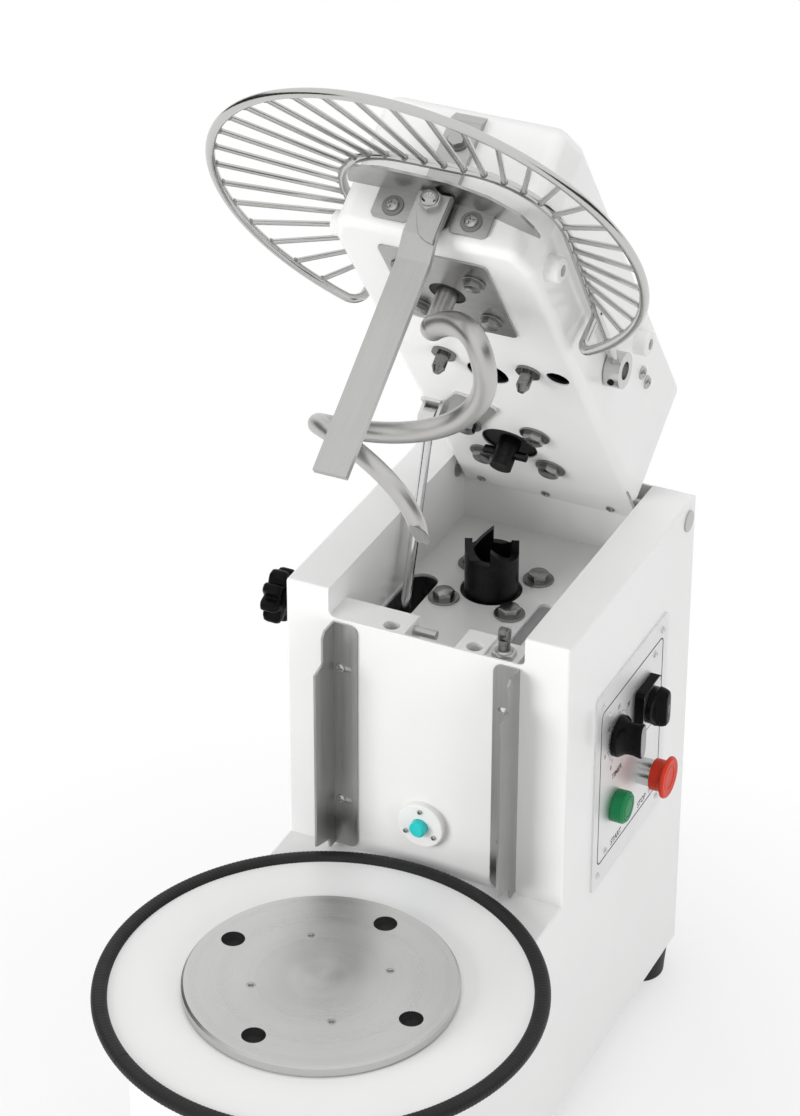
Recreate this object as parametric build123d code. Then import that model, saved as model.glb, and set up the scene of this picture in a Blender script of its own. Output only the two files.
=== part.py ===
from build123d import *
import os
from math import cos, degrees, hypot, pi, radians, sin, tan

# Spiral dough mixer with a lifting head. Millimetres, +Z up, front of the machine towards -Y.
# The pieces are laid out from the turntable's axis (X = 0, Y = 0) and the floor (Z = 0).
# Pieces of the head are drawn with the head lowered, then swung up about the hinge.

# Frame: turntable axis to the middle of the machine's length
ORIGIN_Y = 178.3

# Clearances
RUN_FIT = 0.05
SLIDE_FIT = 0.3
LOOSE = 0.5

# Cabinet
SHEET = 2.0
HALF_WIDTH = 133.0
COLUMN_FRONT = 203.0
COLUMN_DEPTH = 282.0
COLUMN_TOP = 517.3
BASE_TOP = 253.3
BASE_BOTTOM = 30.0
NOSE_SIDE = -96.4
NOSE_CUT = 50.0
BEND_R = 3.0
RECESS_HALF = 92.0
LIP_CORNER_R = 6.0
REAR_FLANGE = 12.0
SHELF_Z = (100.0, 104.0)
SHELF_FRONT_GAP = 20.0
SHELF_MAIN_GAP = 31.5

# Rear panel, bottom plate, feet and cable gland
PANEL_T = 2.0
VENT_COUNT = 6
VENT_SIZE = (70.0, 5.0)
VENT_PITCH = 14.0
VENT_LOW = 300.0
REAR_SCREW_Z = (60.0, 180.0, 320.0, 470.0)
BOTTOM_T = 3.0
FOOT_TOP_R = 26.0
FOOT_FLOOR_R = 23.5
FOOT_EDGE_R = 4.0
FOOT_REAR_INSET = (25.5, 24.0)
FOOT_FRONT = (84.0, -104.0)
GLAND_INSET = 41.0
GLAND_Z = 84.0
GLAND_R = 11.0
GLAND_BORE_R = 4.5
GLAND_LENGTH = 22.0

# Deck in the recess
DECK_DROP = 76.3
DECK_T = 3.0
DECK_HOLE_R = 28.0
SPRING_SLOT_X = (-90.0, -63.0)
SPRING_SLOT_Y = (296.0, 375.0)
CABLE_SLOT_X = (33.5, 45.5)
CABLE_SLOT_Y = (240.0, 374.0)

# Platform, edge trim and turntable
PLATFORM_RISE = 9.9
PLATFORM_T = 3.0
PLATFORM_R = 187.0
PLATFORM_HOLE_R = 76.0
PLATFORM_RING = (84.0, 90.0)
TRIM_PROUD = 5.5
TRIM_WIDTH = 14.0
TRIM_HEIGHT = 12.0
DISC_RISE = 10.5
DISC_T = 9.0
DISC_R = 117.0
DISC_EDGE = 2.0
SEAT_HOLE_R = 10.25
SEAT_CIRCLE_R = 92.5
SEAT_COUNT = 4
SEAT_ANGLE = -10.0
DISC_SCREW_R = 59.0
DISC_SCREW_COUNT = 4
DISC_SCREW_ANGLE = 35.0
DISC_SCREW_HEAD_R = 4.0
DISC_SCREW_HEAD_H = 3.0
DISC_SCREW_SHANK_R = 2.0
DISC_SCREW_SHANK = 12.0
HUB_R = 70.0
HUB_T = 8.0
TURNTABLE_SHAFT_R = 12.5

# Drive inside the cabinet
MAIN_X = -16.0
MAIN_BACK = 94.7
MAIN_SHAFT_R = 10.0
SHAFT_FOOT = 6.0
BEARING_SIDE = 86.0
BEARING_T = 13.0
BEARING_BOSS_R = 31.0
BEARING_BOSS = 20.0
BOLT_HALF = 32.0
BOLT_R = 5.0
BOLT_HEAD_AF = 17.0
BOLT_HEAD_H = 6.4
WASHER_R = 14.0
WASHER_T = 2.0
CHAIN_PITCH = 9.525
TOOTH_HEIGHT = 3.0
ROLLER_R = 3.2
SPROCKET_T = 6.0
CHAIN_T = 5.0
DRIVE_Z = 170.0
BOWL_CHAIN_Z = 74.0
MOTOR_TEETH = 15
MAIN_TEETH = 25
PINION_TEETH = 11
BOWL_CHAIN_ROOM = 15.5
MOTOR_X = 50.0
MOTOR_ROOM = 17.0
MOTOR_R = 48.0
MOTOR_LENGTH = 165.0
OUTPUT_FORWARD = 24.5
OUTPUT_R = 9.0
GEARBOX_X = (5.0, 100.0)
GEARBOX_OVER = 1.5
GEARBOX_H = 60.0

# Claw coupling
CLAW_R = 24.25
CLAW_BORE_R = 17.5
CLAW_SINK = 1.0
CLAW_FLOOR_RISE = 17.0
CLAW_LOW_RISE = 38.0
CLAW_HEIGHT = 52.0
CLAW_FLANK_ANGLE = 20.0
CLAW_SLOPE_ANGLE = 41.0
CLAW_COUNT = 4
COUPLING_TIP_RISE = 28.0
PIN_RISE = 42.5
PIN_R = 4.0
PIN_LENGTH = 40.0

# Bowl guides and bowl sensor on the column's front
GUIDE_T = 2.0
GUIDE_OUTER = 88.0
GUIDE_FLAT = 24.0
GUIDE_WING = 38.0
GUIDE_WING_TOP = 23.0
GUIDE_STEP_DROP = 31.0
GUIDE_STEP_SLOPE = 3.5
GUIDE_TOP_DROP = 3.4
GUIDE_FOOT_RISE = 2.7
GUIDE_TIP_WIDTH = 11.0
GUIDE_NOTCH_RISE = 10.0
GUIDE_WING_RISE = 18.0
GUIDE_CHAMFER = 5.0
GUIDE_CORNER_R = 8.0
GUIDE_SLOT_X = (69.2, 84.4)
GUIDE_SLOT = 5.5
GUIDE_SCREW_X = 80.0
GUIDE_SCREW_RISE = (48.6, 186.0)
SENSOR_X = -1.0
SENSOR_RISE = 48.7
SENSOR_R = 22.0
SENSOR_T = 7.0
SENSOR_SCREW_R = 15.5
SENSOR_SCREW_COUNT = 3
SENSOR_SCREW_ANGLE = 90.0
BUTTON_R = 7.5
BUTTON_OUT = 8.0
BUTTON_BACK = 12.0

# Ledge blocks, lock pin and limit switch
LEDGE_DEPTH = 32.0
LEDGE_HEIGHT = 22.4
LEDGE_LEFT_END = -21.4
LEDGE_RIGHT = (26.4, 52.6)
LEDGE_STEP_END = 82.0
LEDGE_STEP_DROP = 4.0
LOCK_IN = 23.0
LOCK_DROP = 7.9
LOCK_R = 4.0
LOCK_TIP = 0.0
LOCK_KNOB_GAP = 9.0
LOCK_KNOB_T = 18.0
LOCK_KNOB_R = 25.0
LOCK_LOBES = 8
LOCK_LOBE_R = 6.0
LOCK_NECK_R = 9.0
SWITCH_X = 67.3
SWITCH_IN = 13.3
SWITCH_R = 8.0
SWITCH_DROP = 38.4
SWITCH_RISE = 0.6
SWITCH_NUT_AF = 19.0
SWITCH_NUT_H = 5.5
SWITCH_STEM_R = 3.5
SWITCH_STEM = 16.0
SWITCH_ROLLER_R = 5.0
SWITCH_ROLLER_T = 4.0

# Control panel on the right side
PLATE_Y = (264.0, 427.0)
PLATE_Z = (226.0, 431.0)
PLATE_T = 2.0
PLATE_CORNER_R = 5.0
PLATE_SCREW_EDGES = (13.0, 29.3)
TIMER_AT = (314.0, 366.0)
TIMER_R = 19.0
TIMER_LENGTH = 23.5
TIMER_GRIP = 13.0
SELECTOR_AT = (372.0, 366.0)
SELECTOR_PLATE = 42.0
SELECTOR_PLATE_T = 8.5
SELECTOR_R = 19.0
SELECTOR_LENGTH = 15.5
SELECTOR_GRIP = 10.0
SPINDLE_R = 3.0
ESTOP_AT = (372.0, 293.0)
ESTOP_COLLAR = (10.0, 15.0)
ESTOP_SKIRT = (10.6, 14.5)
ESTOP_LAP = 2.0
ESTOP_CUP = 8.0
ESTOP_R = 19.5
ESTOP_CAP = 16.0
ESTOP_RIM = 5.0
ESTOP_STEM_R = 6.0
ESTOP_STEM = 7.0
START_AT = (314.0, 292.0)
START_COLLAR = (15.0, 12.5)
START_R = 11.0
START_PROUD = 0.7
START_DEPTH = 6.5
TAIL_R = 8.0
TAIL_LENGTH = 16.0

# Head, hinge and locating dowels
HINGE_INSET = 13.8
HINGE_BELOW = 18.1
HINGE_R = 10.0
HINGE_PROUD = 1.5
HINGE_BOSS_R = 13.0
HINGE_DROP = 5.8
HEAD_LIFT_ANGLE = 54.32
HEAD_HALF = 89.0
HEAD_FRONT = 4.5
HEAD_BACK_GAP = 25.7
HEAD_HEIGHT = 126.0
HEAD_NOSE_IN = 11.0
HEAD_NOSE_BACK = 28.5
HEAD_NOSE_R = 15.0
HEAD_EDGE_R = 12.0
HEAD_LOW_R = 8.0
HEAD_LIP = 10.0
HEAD_SHEET = 3.0
HEAD_PLATE_T = 4.0
TONGUE_HALF = 84.0
TONGUE_OVER = 8.5
HINGE_SCREW_X = (-67.0, -3.5, 60.0)
DOWEL_MID = 2.3
DOWEL_HALF = 39.0
DOWEL_IN = 10.5
DOWEL_R = 6.0
DOWEL_LENGTH = 20.0
DOWEL_TIP = 5.0
DOWEL_COLLAR_R = 11.0
DOWEL_COLLAR_T = 2.6
DOWEL_HOLE_R = 7.5
CLOSED_GAP = 0.4
LATCH_HOLE = (-2.0, 236.0, 19.0)
SWITCH_HOLE_R = 10.5
COUPLING_HOLE_R = 26.0

# Spiral, its plate and the head's drive
SPIRAL_X = -1.0
SPIRAL_Y = 91.0
SPIRAL_SHAFT_R = 9.0
SPIRAL_PLATE_HALF = 48.3
SPIRAL_PLATE_Y = (29.0, 149.0)
SPIRAL_PLATE_T = 2.0
SPIRAL_PLATE_R = 6.0
SPIRAL_HOLE_R = 16.0
SPIRAL_R = 57.0
SPIRAL_PITCH = 150.0
SPIRAL_NECK_DROP = 34.8
SPIRAL_NECK_ANGLE = -38.0
SPIRAL_NECK_RISE = 0.22
SPIRAL_SHOULDER_DROP = 62.6
SPIRAL_START_ANGLE = -4.0
SPIRAL_END_ANGLE = 372.0
TOOL_GAP = 5.8
SPIRAL_ROD = (10.7, 7.0)
SPIRAL_PULL = (25.6, 48.2)
NECK_COUNT = 8
COIL_COUNT = 24
COUPLING_TEETH = 18
SPIRAL_TEETH = 20
HEAD_CHAIN_RISE = 64.6
SHAFT_OVER = 8.0

# Breaker bar, guard rail bracket, top strap and bumpers on the head
RAIL_T = 2.5
RAIL_RISE = 39.6
RAIL_SHIFT = 6.0
RAIL_PLAN = [(87.0, 2.0), (84.5, -9.0), (76.0, -22.0), (50.0, -29.0)]
RAIL_DROOP = [(-95.0, 0.0), (-50.0, 0.0), (15.0, 1.0), (51.0, 6.5), (95.0, 16.1)]
TAB_MID = -0.5
TAB_HALF_SPAN = 34.5
TAB_WIDTH = 33.5
TAB_DROP = 29.5
TAB_SCREW_DROP = 17.2
TAB_CORNER_R = 5.0
BAR_X = 1.5
BAR_WIDTH = 29.0
BAR_T = 6.0
BAR_TOP_GAP = 2.5
BAR_SPACER = (18.0, 6.0, 20.0)
BAR_SET_DROP = (3.4, 23.4)
BAR_SET_BACK = (7.5, 13.4)
BAR_BOLT_DROP = 9.0
STRAP_X = (-16.0, 12.3)
STRAP_T = 6.5
STRAP_DROP = 84.9
STRAP_SLOPE = (18.2, 8.9)
STRAP_SCREW_RISE = 47.5
BUMPER_R = 11.0
BUMPER_LENGTH = 13.0
BUMPER_EDGE = 3.0
BUMPER_CUP = 6.0
BUMPER_CUP_R = 5.0
BUMPER_FRONT = (53.0, 21.6)
BUMPER_REAR = (303.0, 89.6)

# Guard, drawn level and then tilted up a little about its pivot
PIVOT_Y = 262.0
PIVOT_RISE = 41.6
PIVOT_R = 8.0
COLLAR_R = 16.0
COLLAR_X = (90.0, 104.0)
GUARD_SHAFT_SHORT = 7.0
GUARD_TILT_ANGLE = 2.25
GUARD_CENTRE_Y = 1.5
GUARD_R = 184.7
GUARD_LOW_DROP = 45.0
GUARD_HIGH_DROP = 2.5
GUARD_ROD_R = 4.0
GUARD_WELD_R = 5.2
GUARD_BEND = 12.0
GUARD_END_ANGLE = 147.0
GUARD_HALF = 99.0
GUARD_FRONT = -28.5
GUARD_CORNER_R = 70.0
GUARD_BACK = 165.0
BAR_ROD_R = 2.4
BARS_PER_SIDE = 15
BAR_ANGLE = 9.28
BAR_STEP = 16.93
WELD = 0.8

# Gas spring
SPRING_X = -76.0
SPRING_TOP_Y = 330.0
SPRING_TOP_DROP = 12.4
SPRING_FOOT_Y = 251.0
SPRING_FOOT_DROP = 241.0
ROD_R = 4.4
ROD_LENGTH = 275.0
PISTON_R = 8.7
PISTON_T = 8.0
TUBE_R = 11.0
TUBE_BORE_R = 9.0
TUBE_LENGTH = 234.0
TUBE_GLAND = 12.0
TUBE_FLOOR = 10.0
EYE_R = 9.0
EYE_WIDTH = 12.0
EYE_PIN_R = 4.0
EAR_T = 3.0
EAR_R = 7.0
BRACKET_T = 3.0
BRACKET_PLAN = [(-7.0, 303.0), (-41.0, 356.0), (-81.0, 338.0), (-44.0, 286.0)]
STUD_GAP = 0.5
STUD_R = 6.0
FOOT_PLATE = 46.0

# Small screws
SCREW_R = 2.0
SCREW_HEAD_R = 4.2
SCREW_HEAD_H = 2.4
SCREW_LENGTH = 7.0
SENSOR_HEAD_R = 2.2

# Sizes that follow from the ones above
COLUMN_REAR = COLUMN_FRONT + COLUMN_DEPTH
FRONT_IN = COLUMN_FRONT + SHEET
SIDE_IN = HALF_WIDTH - SHEET
POST_IN = RECESS_HALF + SHEET
NOSE_FRONT = NOSE_SIDE - NOSE_CUT
FLOOR_IN = BASE_BOTTOM + BOTTOM_T
FOOT_REAR = (HALF_WIDTH - FOOT_REAR_INSET[0], COLUMN_REAR - FOOT_REAR_INSET[1])
PLATE_OUT = HALF_WIDTH + PLATE_T
DECK_Z = COLUMN_TOP - DECK_DROP
DECK_LOW = DECK_Z - DECK_T
PLATFORM_TOP = BASE_TOP + PLATFORM_RISE
TRIM_R = PLATFORM_R + TRIM_PROUD
DISC_TOP = PLATFORM_TOP + DISC_RISE
DISC_LOW = DISC_TOP - DISC_T
HINGE_Y = COLUMN_REAR - HINGE_INSET
HINGE_Z = COLUMN_TOP - HINGE_BELOW
HEAD_UNDER = HINGE_Z - HINGE_DROP
HEAD_DECK = HEAD_UNDER + HEAD_PLATE_T
HEAD_TOP = HEAD_UNDER + HEAD_HEIGHT
HEAD_BACK = HINGE_Y - HEAD_BACK_GAP
HEAD_CHAIN_Z = HEAD_UNDER + HEAD_CHAIN_RISE
BOLT_SHANK = HEAD_PLATE_T + BEARING_T
MAIN_Y = HINGE_Y - MAIN_BACK
OUTPUT_AT = (MOTOR_X, MAIN_Y - OUTPUT_FORWARD)
MOTOR_AT = (MOTOR_X, FRONT_IN + MOTOR_R + MOTOR_ROOM)
GEARBOX_Y = (FRONT_IN + MOTOR_ROOM, MAIN_Y + GEARBOX_OVER)
SHELF_Y = (FRONT_IN + SHELF_FRONT_GAP, MAIN_Y - SHELF_MAIN_GAP)
BOWL_TEETH = int(2 * pi * (SIDE_IN - BOWL_CHAIN_ROOM) / CHAIN_PITCH)
GLAND_AT = (GLAND_INSET - HALF_WIDTH, GLAND_Z)
CLAW_FOOT = DECK_Z - CLAW_SINK
CLAW_FLOOR = DECK_Z + CLAW_FLOOR_RISE
CLAW_LOW = DECK_Z + CLAW_LOW_RISE
CLAW_TOP = DECK_Z + CLAW_HEIGHT
COUPLING_SHAFT_TIP = DECK_Z + COUPLING_TIP_RISE
PIN_Z = DECK_Z + PIN_RISE
LIP_Z = HEAD_UNDER - DOWEL_COLLAR_T - CLOSED_GAP
GUIDE_TOP = LIP_Z - GUIDE_TOP_DROP
GUIDE_STEP_Z = GUIDE_TOP - GUIDE_STEP_DROP
GUIDE_FOOT = BASE_TOP + GUIDE_FOOT_RISE
GUIDE_SCREW_Z = [GUIDE_FOOT + rise for rise in GUIDE_SCREW_RISE]
GUIDE_SCREW_LENGTH = GUIDE_T + SHEET
SENSOR_Z = BASE_TOP + SENSOR_RISE
LEDGE_FOOT = LIP_Z - LEDGE_HEIGHT
LEDGE_STEP_Z = LIP_Z - LEDGE_STEP_DROP
LOCK_Y = COLUMN_FRONT + LOCK_IN
LOCK_Z = LIP_Z - LOCK_DROP
LOCK_KNOB_IN = -HALF_WIDTH - LOCK_KNOB_GAP
SWITCH_Y = COLUMN_FRONT + SWITCH_IN
SWITCH_LOW = LIP_Z - SWITCH_DROP
DOWEL_Y = COLUMN_FRONT + DOWEL_IN
DOWEL_X = (DOWEL_MID - DOWEL_HALF, DOWEL_MID + DOWEL_HALF)
SPIRAL_NECK = HEAD_UNDER - SPIRAL_NECK_DROP
SPIRAL_SHOULDER = HEAD_UNDER - SPIRAL_SHOULDER_DROP
SPIRAL_TIP = DISC_TOP + TOOL_GAP
BAR_FOOT = DISC_TOP + TOOL_GAP
RAIL_TOP = HEAD_UNDER + RAIL_RISE
RAIL_LOW = RAIL_TOP - RAIL_T
TAB_FACE = HEAD_FRONT - RAIL_T
BAR_SEAT = TAB_FACE - BAR_SPACER[1] - BAR_T
BAR_TOP = RAIL_LOW - BAR_TOP_GAP
TAB_FOOT = RAIL_TOP - TAB_DROP
TAB_SCREW_Z = RAIL_TOP - TAB_SCREW_DROP
STRAP_FOOT = HEAD_TOP - STRAP_DROP
STRAP_SCREW_Z = STRAP_FOOT + STRAP_SCREW_RISE
PIVOT_Z = HEAD_UNDER + PIVOT_RISE
GUARD_LOW = PIVOT_Z - GUARD_LOW_DROP
GUARD_HIGH = PIVOT_Z - GUARD_HIGH_DROP
SPRING_TOP = (SPRING_TOP_Y, HEAD_UNDER - SPRING_TOP_DROP)
SPRING_FOOT = (SPRING_FOOT_Y, DECK_Z - SPRING_FOOT_DROP)
LOW = Align.MIN
MID = Align.CENTER
HIGH = Align.MAX


def block(x, y, z):
    """Box between low and high values on each axis."""
    low = [min(pair) for pair in (x, y, z)]
    size = [abs(pair[1] - pair[0]) for pair in (x, y, z)]
    return Pos(*low) * Box(*size, align=(LOW, LOW, LOW))


def upright(x, y, z, radius):
    """Cylinder along Z."""
    return Pos(x, y, min(z)) * Cylinder(radius, abs(z[1] - z[0]), align=(MID, MID, LOW))


def crosswise(x, y, z, radius):
    """Cylinder along X."""
    return Pos(min(x), y, z) * Rot(0, 90, 0) * Cylinder(radius, abs(x[1] - x[0]), align=(MID, MID, LOW))


def lengthwise(x, y, z, radius):
    """Cylinder along Y."""
    return Pos(x, max(y), z) * Rot(90, 0, 0) * Cylinder(radius, abs(y[1] - y[0]), align=(MID, MID, LOW))


def prism(points, z):
    """Upright prism over a polygon in plan."""
    return Pos(0, 0, min(z)) * extrude(make_face(Polyline(*points, close=True)), abs(z[1] - z[0]))


def mirrored(points):
    """Right half of a plan outline, front to back or back to front, closed by its mirror image."""
    return list(points) + [(-x, y) for x, y in reversed(points)]


def ring_points(radius, count, start=0.0, centre=(0.0, 0.0)):
    """Evenly spaced points on a circle."""
    turns = [radians(start + 360.0 * i / count) for i in range(count)]
    return [(centre[0] + radius * cos(a), centre[1] + radius * sin(a)) for a in turns]


def square_points(x, y, half):
    """Four corners of a bolt square."""
    return [(x + i * half, y + j * half) for i in (-1, 1) for j in (-1, 1)]


def swing(shape, y, z, angle):
    """Turn a shape about a line along X."""
    return Pos(0, y, z) * Rot(angle, 0, 0) * Pos(0, -y, -z) * shape


def raised(shape):
    """Swing a piece of the lowered head up to its open position."""
    return swing(shape, HINGE_Y, HINGE_Z, -HEAD_LIFT_ANGLE)


def group(solids):
    """Separate solids kept in one node."""
    return Compound(children=[solid for item in solids for solid in item.solids()])


def screw(point, toward, head_r=SCREW_HEAD_R, length=SCREW_LENGTH):
    """Round-headed screw whose head rests on a face at the point and looks outwards."""
    head = Cylinder(head_r, SCREW_HEAD_H, align=(MID, MID, LOW))
    shank = Cylinder(SCREW_R, length, align=(MID, MID, HIGH))
    return Plane(origin=point, z_dir=toward).location * (head + shank)


def screw_hole(point, toward, length=SCREW_LENGTH):
    """Clearance hole for a screw at the point, a little longer than its shank."""
    hole = Cylinder(SCREW_R + RUN_FIT, length + LOOSE, align=(MID, MID, HIGH))
    return Plane(origin=point, z_dir=toward).location * hole


def hexagon(across_flats, height):
    """Upright hexagonal prism on the origin."""
    return extrude(RegularPolygon(across_flats / 2, 6, major_radius=False), height)


def hex_bolt(shank):
    """Hexagon bolt with a wide washer; the washer's seat is at Z = 0 and the head is above."""
    washer = Cylinder(WASHER_R, WASHER_T, align=(MID, MID, LOW))
    head = Pos(0, 0, WASHER_T) * hexagon(BOLT_HEAD_AF, BOLT_HEAD_H)
    return washer + head + Cylinder(BOLT_R, shank, align=(MID, MID, HIGH))


def bolt_holes(x, y, z):
    """Clearance holes for the four bolts of a flange bearing."""
    return [upright(px, py, z, BOLT_R + LOOSE) for px, py in square_points(x, y, BOLT_HALF)]


def flange_bearing(shaft_r):
    """Square flange bearing; its seat is at Z = 0 and its boss points up."""
    half = BEARING_SIDE / 2
    height = BEARING_T + BEARING_BOSS
    plate = block((-half, half), (-half, half), (0, BEARING_T))
    plate = fillet(plate.edges().filter_by(Axis.Z), half - BOLT_HALF)
    body = plate + upright(0, 0, (0, height), BEARING_BOSS_R)
    return body - upright(0, 0, (0, height), shaft_r + RUN_FIT) - bolt_holes(0, 0, (0, BEARING_T))


def pitch_radius(teeth):
    """Pitch circle of a chain sprocket."""
    return CHAIN_PITCH / (2 * sin(pi / teeth))


def sprocket(teeth, bore_r):
    """Chain sprocket standing on Z = 0."""
    pitch_r = pitch_radius(teeth)
    gaps = [Pos(x, y) * Circle(ROLLER_R) for x, y in ring_points(pitch_r + ROLLER_R / 2, teeth)]
    return extrude(Circle(pitch_r + TOOTH_HEIGHT) - gaps - Circle(bore_r + RUN_FIT), SPROCKET_T)


def chain(first, first_teeth, second, second_teeth, z):
    """Endless smooth band round two sprockets, running just clear of their teeth."""
    bands = []
    for extra in (SLIDE_FIT, SLIDE_FIT + CHAIN_T):
        radii = [pitch_radius(n) + TOOTH_HEIGHT + extra for n in (first_teeth, second_teeth)]
        loops = [Pos(*at) * Circle(r) for at, r in zip((first, second), radii)]
        bands.append(make_hull(loops[0].edges() + loops[1].edges()))
    return Pos(0, 0, z) * extrude(bands[1] - bands[0], SPROCKET_T)


def footprint(inset):
    """Plan of the base, drawn in by an inset, with the front corners cut off."""
    half = HALF_WIDTH - inset
    cut = NOSE_CUT - inset * (2 - 2 ** 0.5)
    front = NOSE_FRONT + inset
    return mirrored([(half, COLUMN_REAR), (half, front + cut), (half - cut, front)])


def cabinet():
    """Folded steel body: base and column in one, open below and behind, with a recess for the head."""
    body = prism(footprint(0), (BASE_BOTTOM, BASE_TOP))
    body += block((-HALF_WIDTH, HALF_WIDTH), (COLUMN_FRONT, COLUMN_REAR), (BASE_BOTTOM, COLUMN_TOP))

    def bent(edge):
        at = edge.center()
        on_rim = abs(at.Z - BASE_BOTTOM) < SHEET or abs(at.Y - COLUMN_REAR) < SHEET
        in_corner = abs(at.Y - COLUMN_FRONT) < SHEET and abs(at.Z - BASE_TOP) < SHEET
        return not on_rim and not in_corner

    body = fillet([edge for edge in body.edges() if bent(edge)], BEND_R)
    rear = (FRONT_IN, COLUMN_REAR + SHEET)
    body -= prism(footprint(SHEET), (BASE_BOTTOM - SHEET, BASE_TOP - SHEET))
    body -= block((-SIDE_IN, SIDE_IN), rear, (BASE_BOTTOM - SHEET, DECK_LOW))
    for side in (-1, 1):
        body -= block((side * POST_IN, side * SIDE_IN), rear, (DECK_LOW - SHEET, COLUMN_TOP - SHEET))
    body -= block((-RECESS_HALF, RECESS_HALF), rear, (DECK_LOW, COLUMN_TOP + SHEET))
    mouth = block((-RECESS_HALF, RECESS_HALF), (COLUMN_FRONT - SHEET, rear[0]), (LIP_Z, COLUMN_TOP + SHEET))
    low_corners = mouth.edges().filter_by(Axis.Y).group_by(Axis.Z)[0]
    body -= fillet(low_corners, LIP_CORNER_R)
    for side in (-1, 1):
        flange_x = (side * SIDE_IN, side * (SIDE_IN - REAR_FLANGE))
        body += block(flange_x, (COLUMN_REAR - SHEET, COLUMN_REAR), (FLOOR_IN, COLUMN_TOP - SHEET))
        body += crosswise((side * POST_IN, side * SIDE_IN), HINGE_Y, HINGE_Z, HINGE_BOSS_R)
    body += block((-SIDE_IN, SIDE_IN), SHELF_Y, SHELF_Z)
    return body - cabinet_holes()


def cabinet_holes():
    """Bores and clearance holes through the cabinet's walls."""
    far = HALF_WIDTH + SHEET
    holes = [crosswise((-far, far), HINGE_Y, HINGE_Z, HINGE_R + RUN_FIT)]
    holes.append(crosswise((-far, -RECESS_HALF + SHEET), LOCK_Y, LOCK_Z, LOCK_R + SLIDE_FIT))
    holes.append(upright(0, 0, (BASE_TOP - 2 * SHEET, BASE_TOP + SHEET), TURNTABLE_SHAFT_R + SHEET))
    front = (COLUMN_FRONT - SHEET, FRONT_IN + SHEET)
    holes.append(lengthwise(SENSOR_X, front, SENSOR_Z, BUTTON_R + SLIDE_FIT))
    for y, z in (TIMER_AT, SELECTOR_AT, ESTOP_AT, START_AT):
        holes.append(crosswise((SIDE_IN - SHEET, far), y, z, TAIL_R + SLIDE_FIT))
    holes += [screw_hole(at, (0, -1, 0)) for at in guide_screw_points() + sensor_screw_points(COLUMN_FRONT)]
    holes += [screw_hole(at, (1, 0, 0)) for at in panel_screw_points()]
    holes += [screw_hole(at, (0, 1, 0)) for at in rear_screw_points()]
    return holes


def rear_screw_points():
    """Seats of the rear panel's screws."""
    x = SIDE_IN - REAR_FLANGE / 2
    return [(side * x, COLUMN_REAR + PANEL_T, z) for side in (-1, 1) for z in REAR_SCREW_Z]


def rear_panel():
    """Flat panel behind the column, with cooling slots and the cable gland's hole."""
    y = (COLUMN_REAR, COLUMN_REAR + PANEL_T)
    panel = block((-HALF_WIDTH, HALF_WIDTH), y, (BASE_BOTTOM, COLUMN_TOP))
    half = VENT_SIZE[0] / 2
    for i in range(VENT_COUNT):
        low = VENT_LOW + i * VENT_PITCH
        panel -= block((-half, half), y, (low, low + VENT_SIZE[1]))
    panel -= lengthwise(GLAND_AT[0], y, GLAND_AT[1], GLAND_BORE_R + SHEET + RUN_FIT)
    return panel - [screw_hole(at, (0, 1, 0)) for at in rear_screw_points()]


def cable_gland():
    """Hollow gland through the rear panel, where the supply cable enters."""
    x, z = GLAND_AT
    face = COLUMN_REAR + PANEL_T
    body = lengthwise(x, (face, face + GLAND_LENGTH), z, GLAND_R)
    body += lengthwise(x, (COLUMN_REAR - SHEET, face), z, GLAND_BORE_R + SHEET)
    return body - lengthwise(x, (COLUMN_REAR - SHEET, face + GLAND_LENGTH), z, GLAND_BORE_R)


def foot_points():
    """Places of the feet, rear pair first."""
    return [(side * x, y) for x, y in (FOOT_REAR, FOOT_FRONT) for side in (-1, 1)]


def bottom_plate():
    """Plate that closes the cabinet below and carries the lower bearings."""
    outline = footprint(SHEET)
    return prism(outline, (BASE_BOTTOM, FLOOR_IN))


def foot(x, y):
    """Tapered rubber foot with a rounded edge at the floor."""
    piece = Cone(FOOT_FLOOR_R, FOOT_TOP_R, BASE_BOTTOM, align=(MID, MID, LOW))
    return Pos(x, y) * fillet(piece.edges().group_by(Axis.Z)[0], FOOT_EDGE_R)


def deck_plate():
    """Floor of the recess, with the coupling hole, the gas spring's slot and a cable slot."""
    plate = block((-RECESS_HALF, RECESS_HALF), (FRONT_IN, COLUMN_REAR), (DECK_LOW, DECK_Z))
    depth = (DECK_LOW, DECK_Z)
    plate -= upright(MAIN_X, MAIN_Y, depth, DECK_HOLE_R)
    for x, y in ((SPRING_SLOT_X, SPRING_SLOT_Y), (CABLE_SLOT_X, CABLE_SLOT_Y)):
        slot = block(x, y, depth)
        plate -= fillet(slot.edges().filter_by(Axis.Z), (x[1] - x[0]) / 2 - LOOSE)
    return plate - bolt_holes(MAIN_X, MAIN_Y, depth)


def platform():
    """Round plate on a ring that stands on the base."""
    low = PLATFORM_TOP - PLATFORM_T
    depth = (low, PLATFORM_TOP)
    plate = upright(0, 0, depth, PLATFORM_R) - upright(0, 0, depth, PLATFORM_HOLE_R)
    ring = upright(0, 0, (BASE_TOP, low), PLATFORM_RING[1]) - upright(0, 0, (BASE_TOP, low), PLATFORM_RING[0])
    return plate + ring


def edge_trim():
    """Rubber bead pushed over the platform's edge."""
    z = PLATFORM_TOP - PLATFORM_T / 2
    corner_r = TRIM_HEIGHT / 2 - LOOSE
    bead = Pos(TRIM_R - TRIM_WIDTH / 2, z) * RectangleRounded(TRIM_WIDTH, TRIM_HEIGHT, corner_r)
    reach = PLATFORM_R + SLIDE_FIT - TRIM_R + TRIM_WIDTH
    slot = Pos(PLATFORM_R + SLIDE_FIT, z) * Rectangle(2 * reach, PLATFORM_T, align=(HIGH, MID))
    return revolve(Plane.XZ * (bead - slot), Axis.Z)


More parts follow.
